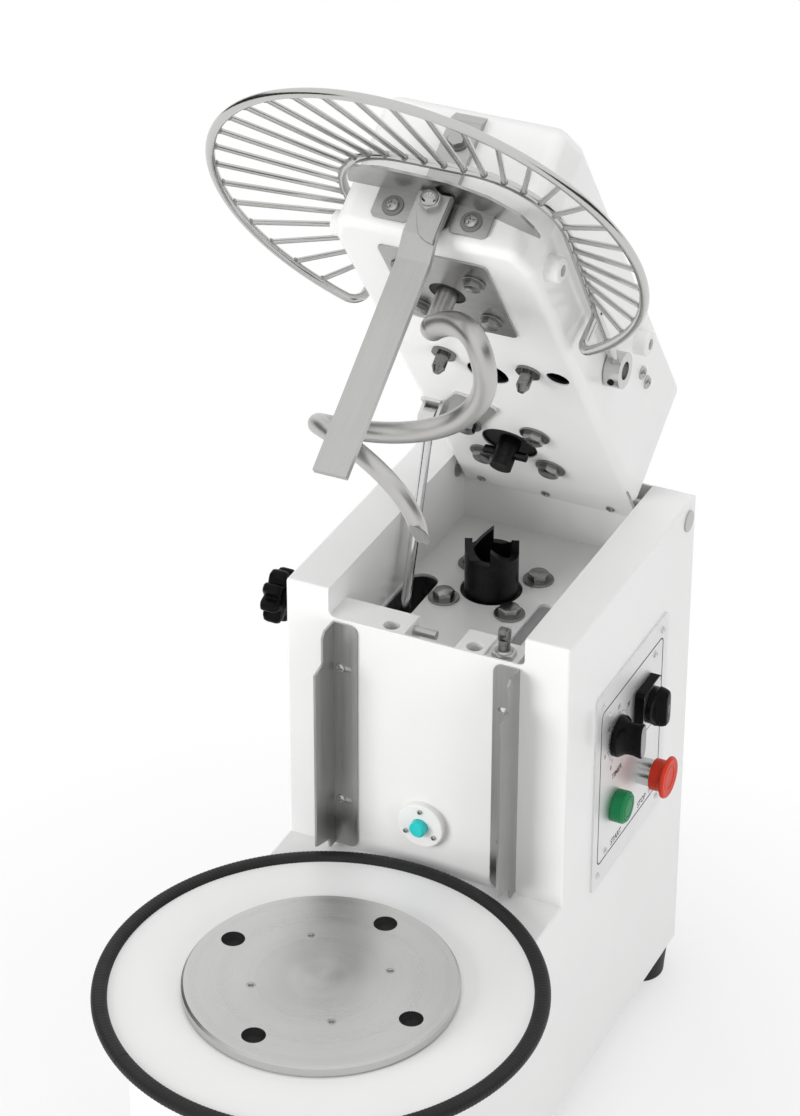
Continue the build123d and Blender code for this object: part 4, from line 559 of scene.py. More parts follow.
class Finishes:
    """Every finish on the machine, made into a material once."""

    def __init__(self, effects: Effects) -> None:
        """Make the materials by name."""
        white = (0.83, 0.83, 0.825)
        kinds = (
            Paint("white_coat", white, 0.32, gloss=0.3, peel=0.1),
            Paint("motor_coat", (0.2, 0.22, 0.25), 0.45, gloss=0.1, peel=0.25),
            Paint("cast_coat", (0.02, 0.021, 0.022), 0.75, gloss=0.0, peel=0.6),
            Paint("black_enamel", (0.012, 0.012, 0.013), 0.3, gloss=0.4, peel=0.1),
            Steel("upright_steel", (0.46, 0.46, 0.455), 0.3, turn=UPRIGHT, density=1100.0, streak=0.14),
            Steel("head_steel", (0.47, 0.47, 0.46), 0.3, turn=HEAD_TURN, density=1000.0),
            Steel("bar_steel", (0.54, 0.54, 0.527), 0.34, turn=(HEAD_LIFT, math.pi / 2, 0.0), density=800.0,
                  streak=0.06),
            Steel("spiral_steel", (0.57, 0.565, 0.55), 0.38, density=140.0, stretch=1.0, streak=0.01,
                  grain=0.0, smudge=0.0, vary=0.1),
            Steel("rod_steel", (0.58, 0.58, 0.57), 0.17, **SMOOTH),
            Steel("nut_chrome", (0.45, 0.45, 0.445), 0.13, **SMOOTH),
            Steel("collar_steel", (0.56, 0.56, 0.55), 0.19, density=700.0, streak=0.05, grain=0.03,
                  smudge=0.2, vary=0.4),
            Steel("zinc_plate", (0.5, 0.5, 0.49), 0.3, density=700.0, stretch=1.0, streak=0.1, grain=0.05),
            Steel("bright_plate", (0.82, 0.82, 0.81), 0.46, density=700.0, stretch=1.0, streak=0.04,
                  grain=0.03, smudge=0.2),
            Steel("bolt_steel", (0.35, 0.35, 0.345), 0.25, density=700.0, stretch=1.0, streak=0.03, grain=0.0,
                  smudge=0.1, vary=0.3),
            Steel("washer_plate", (0.26, 0.26, 0.257), 0.34, density=700.0, stretch=1.0, streak=0.04,
                  grain=0.0, smudge=0.1, vary=0.3),
            Steel("dowel_steel", (0.22, 0.22, 0.215), 0.24, density=700.0, streak=0.06, grain=0.03,
                  smudge=0.2),
            Steel("satin_sleeve", (0.6, 0.6, 0.6), 0.22, density=900.0, stretch=40.0, streak=0.08),
            Steel("chrome_rod", (0.66, 0.66, 0.66), 0.1, density=500.0, stretch=20.0, streak=0.03, grain=0.01,
                  smudge=0.3),
            Steel("black_oxide", (0.03, 0.03, 0.031), 0.36, density=400.0, stretch=1.0, streak=0.3, grain=0.1,
                  smudge=1.0),
            Steel("panel_foil", (0.83, 0.83, 0.83), 0.46, turn=ALONG_PANEL, density=1500.0, streak=0.03,
                  grain=0.02),
            TurnedSteel("turned_steel", (0.58, 0.58, 0.575), 0.28, centre=(0.0, -ORIGIN_Y * MM)),
            Plastic("rubber", (0.012, 0.012, 0.0125), 0.5, grain=0.2, specular=0.3),
            Plastic("white_plastic", (0.8, 0.8, 0.79), 0.42, grain=0.05, tone=0.02),
            Plastic("black_plastic", (0.004, 0.004, 0.0042), 0.22, grain=0.05, specular=0.08),
            Plastic("red_plastic", (0.64, 0.045, 0.02), 0.36, grain=0.06, specular=0.18, tone=0.06),
            Plastic("green_plastic", (0.008, 0.22, 0.075), 0.38, grain=0.06, specular=0.25, tone=0.08),
            Plastic("turquoise_plastic", (0.01, 0.55, 0.54), 0.34, grain=0.06, tone=0.05),
            Plastic("print_ink", (0.03, 0.03, 0.03), 0.5, grain=0.02),
            Plastic("grey_cap", (0.3, 0.3, 0.3), 0.38, grain=0.05),
            Steel("label_foil", (0.68, 0.68, 0.68), 0.3, turn=ALONG_PANEL, density=1500.0, streak=0.03,
                  grain=0.02),
            Steel("weld_steel", (0.42, 0.41, 0.4), 0.42, density=500.0, stretch=1.0, streak=0.2, grain=0.2),
        )
        self.made = {kind.name: kind.build(effects) for kind in kinds}

    def __getitem__(self, name: str) -> Material:
        """Material of a finish."""
        return self.made[name]


NODE_FINISH = {
    "white_coat": ("cabinet", "rear_panel", "bottom_plate", "deck_plate", "platform", "ledge_blocks",
                   "head_cover", "head_base_plate"),
    "upright_steel": ("bowl_guides",),
    "head_steel": ("spiral_plate", "guard_rail", "top_strap"),
    "bar_steel": ("breaker_bar",),
    "spiral_steel": ("spiral",),
    "rod_steel": ("guard_frame", "guard_bars", "guard_shaft"),
    "collar_steel": ("guard_collars",),
    "turned_steel": ("turntable_disc",),
    "panel_foil": ("panel_plate",),
    "satin_sleeve": ("button_collars",),
    "zinc_plate": ("body_fasteners", "head_fasteners", "disc_screws", "limit_switch", "switch_plunger",
                   "lock_pin", "hinge_shaft", "spring_lower_bracket", "main_shaft", "turntable_hub"),
    "bright_plate": ("spring_upper_bracket",),
    "dowel_steel": ("dowels",),
    "chrome_rod": ("spring_rod",),
    "black_oxide": ("lower_coupling", "main_sprockets", "motor_sprocket", "bowl_sprocket",
                    "coupling_sprocket", "spiral_sprocket", "base_chains", "head_chain", "coupling_shaft",
                    "coupling_pin"),
    "cast_coat": ("flange_bearings", "head_bearings"),
    "motor_coat": ("gearmotor",),
    "rubber": ("feet", "edge_trim"),
    "white_plastic": ("bumpers", "sensor_flange"),
    "black_plastic": ("selector_plate", "timer_knob", "selector_knob", "lock_knob", "cable_gland"),
    "black_enamel": ("spring_tube",),
    "red_plastic": ("estop_button",),
    "green_plastic": ("start_button",),
    "turquoise_plastic": ("sensor_button",),
}


def dress_frame(finishes: Finishes) -> None:
    """Give every node of the frame its finish."""
    for name, nodes in NODE_FINISH.items():
        for node in nodes:
            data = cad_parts[node].data
            data.materials.clear()
            data.materials.append(finishes[name])
        LOG.info("%s: %d nodes of the frame", name, len(nodes))


class Drive(Enum):
    """Shape of the recess in a screw's head."""

    PLAIN = "plain"
    CROSS = "cross"
    HEX = "hex"

    def depth(self, x: np.ndarray, y: np.ndarray, radius: float) -> np.ndarray:
        """How deep the recess is at points of the head, from 0 to 1, with short sloped walls.

        Args:
            x: First coordinate across the head.
            y: Second coordinate across the head.
            radius: Radius of the head.

        Returns:
            Share of the full depth at each point.
        """
        if self is Drive.PLAIN:
            return np.zeros_like(x)
        if self is Drive.CROSS:
            arm = 0.17 * radius - np.minimum(np.abs(x), np.abs(y))
            end = 0.62 * radius - np.maximum(np.abs(x), np.abs(y))
            inside = np.minimum(arm, end)
        else:
            turns = np.radians((0.0, 60.0, 120.0))
            reach = np.abs(np.cos(turns)[:, None, None] * x + np.sin(turns)[:, None, None] * y).max(axis=0)
            inside = 0.5 * radius - reach
        return np.clip(0.5 + inside / (0.1 * radius), 0.0, 1.0)


def screw_head(radius: float, height: float, drive: Drive, crown: float = 0.5, shank: float = 2.0,
               length: float = 6.0, count: int = 48) -> Surface:
    """Round screw about Z with its seat at 0: the top is h (1 - crown r^4) less its recess.

    Args:
        radius: Radius of the head.
        height: Height of the head.
        drive: Its recess.
        crown: How much of the height the top falls by towards its edge.
        shank: Radius of the shank.
        length: Length of the shank.
        count: Points round the head.

    Returns:
        The surface.
    """
    reach = np.linspace(0.06, 1.0, 15)
    c, s = circle(count)
    x, y = radius * np.outer(reach, c), radius * np.outer(reach, s)
    top = height * (1 - crown * reach ** 4)[:, None] - 0.6 * height * drive.depth(x, y, radius)
    grid = np.stack([x, y, top], axis=-1)
    sides = np.array([(radius, 0.0), (shank, 0.0), (shank, -length)])
    low = np.stack([np.outer(sides[:, 0], c), np.outer(sides[:, 0], s),
                    np.repeat(sides[:, 1:], count, axis=1)], axis=-1)
    return skin(np.concatenate([grid, low]), (0.0, 0.0, top[0].min()), (0.0, 0.0, -length))


def hex_head(flats: float, height: float, dome: float = 0.0, shank: float = 5.0, length: float = 10.0,
             count: int = 48) -> Surface:
    """Hexagon head about Z with its seat at 0; a cone takes off its corners: z = h - (R(a) - r) tan 30.

    Args:
        flats: Size across the flats.
        height: Height of the head.
        dome: Height of a round cap above the head.
        shank: Radius of the shank.
        length: Length of the shank.
        count: Points round the head.

    Returns:
        The surface.
    """
    angle = np.linspace(0.0, 2 * math.pi, count, endpoint=False)
    corner = flats / 2 / np.cos((angle + math.pi / 6) % (math.pi / 3) - math.pi / 6)
    face = 0.94 * flats / 2
    steps = np.radians(np.linspace(80.0, 0.0, 9)) if dome else np.array([])
    radii = [np.full(count, face * 0.96 * math.cos(step)) for step in steps] + [np.full(count, face), corner,
                                                                                corner]
    heights = [np.full(count, height + dome * math.sin(step)) for step in steps]
    heights += [np.full(count, height), height - (corner - face) * math.tan(math.pi / 6), np.zeros(count)]
    radii += [np.full(count, shank), np.full(count, shank)]
    heights += [np.zeros(count), np.full(count, -length)]
    r, z = np.array(radii), np.array(heights)
    rings = np.stack([r * np.cos(angle), r * np.sin(angle), z], axis=-1)
    return skin(rings, (0.0, 0.0, height + dome), (0.0, 0.0, -length))


def washer(radius: float, thickness: float, bore: float, edge: float = 0.35) -> Surface:
    """Flat washer about Z on the plane 0, with its outer edges broken."""
    profile = ((bore, 0.0), (radius - edge, 0.0), (radius, edge), (radius, thickness - edge),
               (radius - edge, thickness), (bore, thickness))
    return turned_ring(profile, 64)


def stadium_rings(rows: Sequence[tuple[float, float, float, float]], count: int = 64) -> Points:
    """Rings of a grip: at height z the radius is ((|cos a| / t)^p + (|sin a| / l)^p)^(-1/p).

    Args:
        rows: Height, half thickness t, half length l and power p of each ring.
        count: Points round each ring.

    Returns:
        Array of rings by points by three coordinates.
    """
    z, t, l, p = (column[:, None] for column in np.asarray(rows, dtype=float).T)
    angle = np.linspace(0.0, 2 * math.pi, count, endpoint=False)[None, :]
    c, s = np.cos(angle), np.sin(angle)
    radius = ((np.abs(c) / t) ** p + (np.abs(s) / l) ** p) ** (-1 / p)
    return np.stack([radius * c, radius * s, np.broadcast_to(z, radius.shape)], axis=-1)


def rounded_outline(half: Pair, corner: float, count: int = 10) -> Points:
    """Points round a rectangle with round corners: each corner is a quarter circle about its own centre."""
    angle = np.radians(np.linspace(0.0, 90.0, count))
    quarter = np.stack([np.cos(angle), np.sin(angle)], axis=1) * corner
    centres = np.array([(1, 1), (-1, 1), (-1, -1), (1, -1)]) * (np.asarray(half) - corner)
    turns = np.radians((0.0, 90.0, 180.0, 270.0))
    arcs = [centre + quarter @ np.array([[math.cos(t), math.sin(t)], [-math.sin(t), math.cos(t)]])
            for centre, t in zip(centres, turns)]
    return np.concatenate(arcs)


def plate(outline: Points, low: float, high: float, edge: float = 0.0) -> Surface:
    """Flat plate of a convex outline between two heights, with its upper rim drawn in by an edge.

    Args:
        outline: Points round the plate in its own plane.
        low: Height of its lower face.
        high: Height of its upper face.
        edge: Width of the broken upper rim.

    Returns:
        The surface.
    """
    middle = outline.mean(axis=0)
    reach = np.linalg.norm(outline - middle, axis=1, keepdims=True)
    inner = middle + (outline - middle) * (1 - edge / reach)
    flat = [(outline, low), (outline, high - edge), (inner, high)] if edge else [(outline, low),
                                                                                 (outline, high)]
    rings = np.stack([np.column_stack([points, np.full(len(points), z)]) for points, z in flat])
    return skin(rings, (*middle, low), (*middle, high))


def band(outer: Points, inner: Points, low: float, high: float) -> Surface:
    """Flat frame between two outlines of equal count, as a closed loop of four-cornered sections."""
    rows = [(outer, low), (outer, high), (inner, high), (inner, low)]
    rings = np.stack([np.column_stack([points, np.full(len(points), z)]) for points, z in rows], axis=1)
    return skin(rings, loop=True)


def word(text: str, size: float, at: Sequence[float], axes: Points, lift: float = 0.06) -> Surface:
    """Printed word: the letters' outline as a thin flat mesh, centred on a point along a frame.

    Args:
        text: Letters or numbers.
        size: Height of the type in millimetres.
        at: Middle of the word.
        axes: Frame whose first row runs along the word.
        lift: Thickness of the print.

    Returns:
        The surface.
    """
    curve = bpy.data.curves.new("word", "FONT")
    curve.body, curve.size = text, size
    curve.align_x, curve.align_y = "CENTER", "CENTER"
    curve.extrude, curve.resolution_u, curve.offset = lift / 2, 3, 0.024 * size
    holder = bpy.data.objects.new("word", curve)
    mesh = bpy.data.meshes.new_from_object(holder)
    points = np.empty(len(mesh.vertices) * 3)
    mesh.vertices.foreach_get("co", points)
    mesh.calc_loop_triangles()
    tris = np.empty(len(mesh.loop_triangles) * 3, dtype=np.int32)
    mesh.loop_triangles.foreach_get("vertices", tris)
    bpy.data.objects.remove(holder)
    bpy.data.curves.remove(curve)
    bpy.data.meshes.remove(mesh)
    return Surface(points.reshape(-1, 3), tris=tris.reshape(-1, 3).astype(int)).moved(axes, at)


@dataclass
class Cabinet:
    """Standing body: its bolts, washers, screws, hand knob and the print on its panel."""

    drive_axis: Pair = (-16.0, 376.5)
    bolt_half: float = 32.0
    bolt_flats: float = 17.0
    bolt_height: float = 6.4
    washer_r: float = 14.0
    washer_t: float = 2.0
    deck: float = 441.0
    screw_r: float = 4.2
    screw_h: float = 2.4
    small_r: float = 2.2
    panel_screw_r: float = 3.2
    guide_x: float = 80.0
    guide_face: float = 201.0
    guide_z: Pair = (304.6, 442.0)
    sensor: Spot = (-1.0, 196.0, 302.0)
    sensor_circle: float = 15.5
    rear: float = 487.0
    rear_x: float = 125.0
    rear_z: tuple[float, ...] = (60.0, 180.0, 320.0, 470.0)
    panel_x: float = 135.0
    panel_y: Pair = (264.0, 427.0)
    panel_z: Pair = (226.0, 431.0)
    panel_insets: Pair = (13.0, 29.3)
    border: tuple[float, float, float, float] = (345.3, 330.2, 71.0, 81.0)
    border_w: float = 1.5
    switch: Pair = (67.3, 216.3)
    switch_z: Spot = (452.0, 486.4, 494.0)
    lock: Pair = (226.0, 482.5)
    lock_start: float = -133.5
    lock_neck: float = 9.0
    lock_radius: float = 25.0
    lock_lobes: int = 8
    duct: tuple[float, float, float, float] = (33.5, 45.5, 240.0, 374.0)
    duct_z: Pair = (432.0, 437.9)

    def bolt_places(self) -> list[Spot]:
        """Seats of the four deck bolts."""
        x, y = self.drive_axis
        return [(x + i * self.bolt_half, y + j * self.bolt_half, self.deck) for i in (-1, 1) for j in (-1, 1)]

    def panel_places(self) -> list[Spot]:
        """Seats of the panel's screws."""
        low, high = np.array((self.panel_y[0], self.panel_z[0])), np.array((self.panel_y[1], self.panel_z[1]))
        corners = [(y, z) for inset in self.panel_insets for y in (low[0] + inset, high[0] - inset)
                   for z in (low[1] + inset, high[1] - inset)]
        return [(self.panel_x, y, z) for y, z in corners]

    def fasteners(self, finishes: Finishes) -> None:
        """Every screw on the standing body, and the deck bolts with the wide washers under them."""
        up, front, back, right = (axes_along(way) for way in ((0, 0, 1), (0, -1, 0), (0, 1, 0), (1, 0, 0)))
        bolt = hex_head(self.bolt_flats, self.bolt_height)
        large = screw_head(self.screw_r, self.screw_h, Drive.CROSS)
        small = screw_head(self.small_r, self.screw_h, Drive.CROSS, length=5.0)
        flat_top = screw_head(self.panel_screw_r, 1.8, Drive.CROSS, length=5.0)
        turns = np.radians(90.0 + 120.0 * np.arange(3))
        x, y, z = self.sensor
        ring = [(x + self.sensor_circle * math.cos(t), y, z + self.sensor_circle * math.sin(t))
                for t in turns]
        shapes = [large.moved(front, (side * self.guide_x, self.guide_face, h)) for side in (-1, 1)
                  for h in self.guide_z]
        shapes += [small.moved(front, at) for at in ring]
        shapes += [large.moved(back, (side * self.rear_x, self.rear, h)) for side in (-1, 1)
                   for h in self.rear_z]
        piece("body_screws", joined(shapes), Place.STANDING, "cabinet_body",
              finishes["zinc_plate"], ("body_fasteners",))
        piece("panel_screws", joined(flat_top.moved(right, at) for at in self.panel_places()), Place.STANDING,
              "cabinet_body", finishes["bright_plate"])
        bolts = [bolt.moved(up, (px, py, pz + self.washer_t)) for px, py, pz in self.bolt_places()]
        piece("deck_bolts", joined(bolts), Place.STANDING, "cabinet_body",
              finishes["bolt_steel"])
        flat = washer(self.washer_r, self.washer_t, 5.2)
        piece("deck_washers", joined(flat.moved(up, at) for at in self.bolt_places()), Place.STANDING,
              "cabinet_body", finishes["washer_plate"])

    def hand_knob(self, finishes: Finishes) -> None:
        """Lobed knob: radius R - d (1 - cos(n a)) / 2 with rounded faces, a waist and a bored neck."""
        count = 160
        angle = np.linspace(0.0, 2 * math.pi, count, endpoint=False)
        dip = 7.0 * (0.5 - 0.5 * np.cos(self.lock_lobes * angle)) ** 1.6
        rows = ((4.4, 8.0, 0.0), (4.4, 0.0, 0.0), (self.lock_neck, 0.0, 0.0), (self.lock_neck, 6.0, 0.0),
                (12.0, 8.5, 0.0), (self.lock_radius - 4.0, 8.7, 0.8), (self.lock_radius - 1.0, 10.2, 1.0),
                (self.lock_radius, 12.6, 1.0), (self.lock_radius, 21.0, 1.0),
                (self.lock_radius - 0.8, 23.8, 1.0), (self.lock_radius - 3.2, 25.4, 0.85),
                (self.lock_radius - 7.0, 25.8, 0.5), (13.0, 25.8, 0.0), (12.0, 24.6, 0.0), (11.0, 26.5, 0.0),
                (5.0, 26.5, 0.0))
        r, z, share = np.asarray(rows).T
        radius = r[:, None] - share[:, None] * dip[None, :]
        rings = np.stack([radius * np.cos(angle), radius * np.sin(angle),
                          np.repeat(z[:, None], count, axis=1)], axis=-1)
        shape = skin(rings, (0.0, 0.0, 8.0), (0.0, 0.0, 26.5))
        piece("lock_hand_knob", shape.moved(axes_along((-1, 0, 0)), (self.lock_start, *self.lock)),
              Place.STANDING, "head_lock", finishes["black_plastic"], ("lock_knob",))

    def print(self, finishes: Finishes) -> None:
        """Thin border inside the panel's edge."""
        y, z, half_y, half_z = self.border
        outer = rounded_outline((half_y, half_z), 7.0)
        inner = rounded_outline((half_y - self.border_w, half_z - self.border_w), 7.0 - self.border_w)
        shape = band(outer, inner, 0.0, 0.06).moved(axes_along((1, 0, 0)), (self.panel_x, y, z))
        piece("panel_border", shape, Place.STANDING, "cabinet_body", finishes["print_ink"])

    def cable_duct(self, finishes: Finishes) -> None:
        """Grey duct that shows through the long slot in the deck."""
        left, right, near, far = self.duct
        outline = rounded_outline(((right - left) / 2 + 2.0, (far - near) / 2 + 3.0), 1.0, 4)
        shape = plate(outline, *self.duct_z).moved(np.eye(3), ((left + right) / 2, (near + far) / 2, 0.0))
        piece("cable_duct", shape, Place.STANDING, "cabinet_body", finishes["grey_cap"])

    def head_switch(self, finishes: Finishes) -> None:
        """Threaded sleeve with its nut, and the plunger whose fork carries a roller across it."""
        x, y = self.switch
        low, nut, top = self.switch_z
        sleeve = turned_ring(((5.4, low), (8.0, low), (8.0, nut + 6.0), (7.6, nut + 6.4), (6.9, top),
                              (5.4, top)), 48)
        collar = hex_head(19.0, 5.5, length=1.0, shank=6.0).moved(np.eye(3), (0.0, 0.0, nut))
        piece("switch_sleeve", joined((sleeve, collar)).moved(np.eye(3), (x, y, 0.0)), Place.STANDING,
              "cabinet_body", finishes["zinc_plate"], ("limit_switch",))
        fork = lathe(((5.2, low + 12.0), (5.2, 502.8), (4.6, 503.4)), 36)
        cheek = plate(rounded_outline((4.0, 6.0), 3.6), 0.0, 1.7, 0.3)
        cheeks = [cheek.moved(axes_along((side, 0, 0)), (side * 2.9, 0.0, 508.0)) for side in (-1, 1)]
        roller = lathe(((4.4, -2.6), (4.4, 2.6)), 36).moved(axes_along((1, 0, 0)), (0.0, 0.0, 510.2))
        piece("switch_fork", joined((fork, *cheeks, roller)).moved(np.eye(3), (x, y, 0.0)), Place.STANDING,
              "head_switch", finishes["dowel_steel"], ("switch_plunger",))

    def build(self, finishes: Finishes) -> None:
        """Make every piece of the standing body."""
        self.fasteners(finishes)
        self.head_switch(finishes)
        self.cable_duct(finishes)
        self.hand_knob(finishes)
        self.print(finishes)


@dataclass
class Controls:
    """Knobs and push buttons on the panel, with their print."""

    face: float = 135.0
    timer: Pair = (314.0, 366.0)
    timer_r: float = 19.0
    selector: Pair = (372.0, 366.0)
    selector_face: float = 143.5
    selector_r: float = 19.0
    selector_half: float = 21.0
    stop: Pair = (372.0, 293.0)
    stop_r: float = 19.5
    sleeve_r: float = 12.4
    sleeve_length: float = 15.0
    start: Pair = (314.0, 292.0)
    bezel_r: float = 15.0
    bezel_length: float = 12.5
    tail_r: float = 7.9
    type_size: float = 8.2

    def axes(self) -> Points:
        """Frame of the panel: along it to the rear, up, and out of it."""
        return axes_along((1, 0, 0))

    def timer_knob(self, finishes: Finishes) -> None:
        """Round skirt that draws in to a waist and flares into a straight grip with a grey end."""
        r = self.timer_r
        rows = ((0.5, 5.0, 5.0, 2.0), (0.5, r - 0.8, r - 0.8, 2.0), (1.2, r, r, 2.0), (4.0, r, r, 2.0),
                (5.2, r - 0.6, r - 0.6, 2.0), (7.0, 14.5, 17.4, 2.1), (9.2, 9.6, 16.2, 2.4),
                (12.0, 7.0, 15.8, 2.8), (16.0, 6.2, 16.0, 3.0), (19.5, 6.5, 16.6, 3.0),
                (22.4, 7.0, 17.2, 3.0), (23.5, 6.7, 16.9, 3.0), (24.0, 6.0, 16.2, 3.0))
        at = (self.face, *self.timer)
        shape = skin(stadium_rings(rows), (0.0, 0.0, 0.5), (0.0, 0.0, 24.0))
        spindle = lathe(((3.0, -18.0), (3.0, 0.6)), 24)
        piece("timer_grip", joined((shape, spindle)).moved(self.axes(), at), Place.STANDING, "timer",
              finishes["black_plastic"], ("timer_knob",))
        cap = skin(stadium_rings(((23.9, 5.7, 15.8, 3.0), (24.15, 5.5, 15.6, 3.0))), (0.0, 0.0, 23.9),
                   (0.0, 0.0, 24.15))
        piece("timer_end_cap", cap.moved(self.axes(), at), Place.STANDING, "timer",
              finishes["grey_cap"])

    def selector_knob(self, finishes: Finishes) -> None:
        """Round base with a broad faceted grip across it, over a silver label on the switch's square body."""
        r = self.selector_r
        rows = ((0.5, 4.0, 4.0, 2.0), (0.5, r - 2.6, r - 2.6, 2.0), (1.0, r - 2.0, r - 2.0, 2.0),
                (4.0, r - 2.0, r - 2.0, 2.0), (5.0, r - 2.6, r - 1.4, 2.1), (6.0, 12.0, r - 0.4, 2.8),
                (7.0, 8.4, r, 3.4), (9.0, 7.2, r, 4.0), (12.5, 6.5, r - 0.7, 4.0), (15.0, 5.9, r - 2.0, 4.0),
                (15.8, 5.1, r - 3.2, 4.0), (16.0, 4.2, r - 4.2, 4.0))
        at = (self.selector_face, *self.selector)
        shape = skin(stadium_rings(rows), (0.0, 0.0, 0.5), (0.0, 0.0, 16.0))
        spindle = lathe(((3.0, -27.0), (3.0, 0.6)), 24)
        piece("selector_grip", joined((shape, spindle)).moved(self.axes(), at), Place.STANDING, "selector",
              finishes["black_plastic"], ("selector_knob",))
        mark = plate(rounded_outline((0.6, 4.6), 0.5, 4), 15.95, 16.12)
        piece("selector_pointer", mark.moved(self.axes(), at), Place.STANDING, "selector",
              finishes["grey_cap"])
        half = self.selector_half - 1.2
        label = plate(rounded_outline((half, half), 4.0), 0.0, 0.12)
        piece("selector_label", label.moved(self.axes(), at), Place.STANDING, "cabinet_body",
              finishes["label_foil"])

    def stop_button(self, finishes: Finishes) -> None:
        """Mushroom: a hollow skirt over the sleeve, a waist, a flared rim and a dished, ringed face."""
        profile = ((6.0, 8.2), (6.0, 21.0), (12.9, 21.0), (12.9, 13.3), (13.1, 13.0), (14.4, 13.0),
                   (14.6, 13.4), (14.6, 19.4), (14.4, 20.8), (14.8, 21.9), (16.0, 23.4), (17.9, 24.5),
                   (19.1, 25.2), (self.stop_r, 26.1), (19.4, 27.2), (18.9, 28.1), (18.0, 28.8), (17.0, 29.0),
                   (15.0, 28.6), (12.2, 28.3), (12.0, 28.6), (10.8, 28.6), (10.6, 28.1), (6.0, 27.8),
                   (2.0, 27.7))
        shape = lathe(profile, 72).moved(self.axes(), (self.face, *self.stop))
        piece("stop_mushroom", shape, Place.STANDING, "emergency_stop",
              finishes["red_plastic"], ("estop_button",))
        r, length = self.sleeve_r, self.sleeve_length
        sleeve = ((6.3, 2.0), (6.3, length - 0.4), (6.7, length), (r - 0.4, length), (r, length - 0.4),
                  (r, 0.0), (6.3, 0.0))
        tail = lathe(((self.tail_r, -18.0), (self.tail_r, 0.2)), 36)
        piece("stop_sleeve",
              joined((turned_ring(sleeve, 72), tail)).moved(self.axes(), (self.face, *self.stop)),
              Place.STANDING, "cabinet_body", finishes["satin_sleeve"], ("button_collars",))

    def start_button(self, finishes: Finishes) -> None:
        """Green bezel with a sloped front rim round a flush button with a fine ring."""
        r, length = self.bezel_r, self.bezel_length
        bezel = ((11.3, 2.0), (11.3, length - 0.5), (12.0, length), (13.2, length), (r, length - 2.2),
                 (r, 0.8), (r - 0.6, 0.0), (11.3, 0.0))
        tail = lathe(((self.tail_r, -18.0), (self.tail_r, 0.2)), 36)
        at = (self.face, *self.start)
        piece("start_bezel", joined((turned_ring(bezel, 72), tail)).moved(self.axes(), at), Place.STANDING,
              "cabinet_body", finishes["green_plastic"])
        button = ((11.0, 6.7), (11.0, 12.2), (10.4, 12.9), (9.4, 13.2), (8.4, 12.9), (8.2, 12.5), (7.8, 12.5),
                  (7.6, 12.8), (4.0, 13.0), (1.0, 13.0))
        piece("start_push", lathe(button, 72).moved(self.axes(), at), Place.STANDING, "start",
              finishes["green_plastic"], ("start_button",))

    def print(self, finishes: Finishes) -> None:
        """Scale round the timer and the plain words beside the buttons."""
        axes = self.axes()
        y, z = self.timer
        turns = np.radians(np.linspace(240.0, -60.0, 31))
        shapes = []
        for index, turn in enumerate(turns):
            long = index % 5 == 0
            spoke = np.array(((math.cos(turn), math.sin(turn), 0.0), (-math.sin(turn), math.cos(turn), 0.0),
                              (0.0, 0.0, 1.0)))
            tick = plate(np.array(((21.5, -0.35), (25.5 if long else 23.6, -0.35),
                                   (25.5 if long else 23.6, 0.35), (21.5, 0.35))),
                         0.0, 0.06)
            shapes.append(tick.moved(spoke @ axes, (self.face, y, z)))
            if long:
                at = (self.face + 0.03, y + 29.6 * math.cos(turn), z + 29.6 * math.sin(turn))
                shapes.append(word(str(index), 6.2, at, axes))
        words = (("TIMER", (y, z - 38.4)), ("START", (self.start[0] + 3.4, self.start[1] - 36.2)),
                 ("STOP", (self.stop[0] + 5.5, self.stop[1] - 36.8)))
        shapes += [word(text, self.type_size, (self.face + 0.03, *at), axes) for text, at in words]
        shapes.append(word("0", 4.6,
                           (self.selector_face + 0.15, self.selector[0] - 17.5, self.selector[1] + 16.5),
                           axes))
        shapes.append(word("1", 4.6,
                           (self.selector_face + 0.15, self.selector[0] + 17.5, self.selector[1] + 16.5),
                           axes))
        piece("panel_print", joined(shapes), Place.STANDING, "cabinet_body",
              finishes["print_ink"])

    def build(self, finishes: Finishes) -> None:
        """Make every control."""
        self.timer_knob(finishes)
        self.selector_knob(finishes)
        self.stop_button(finishes)
        self.start_button(finishes)
        self.print(finishes)


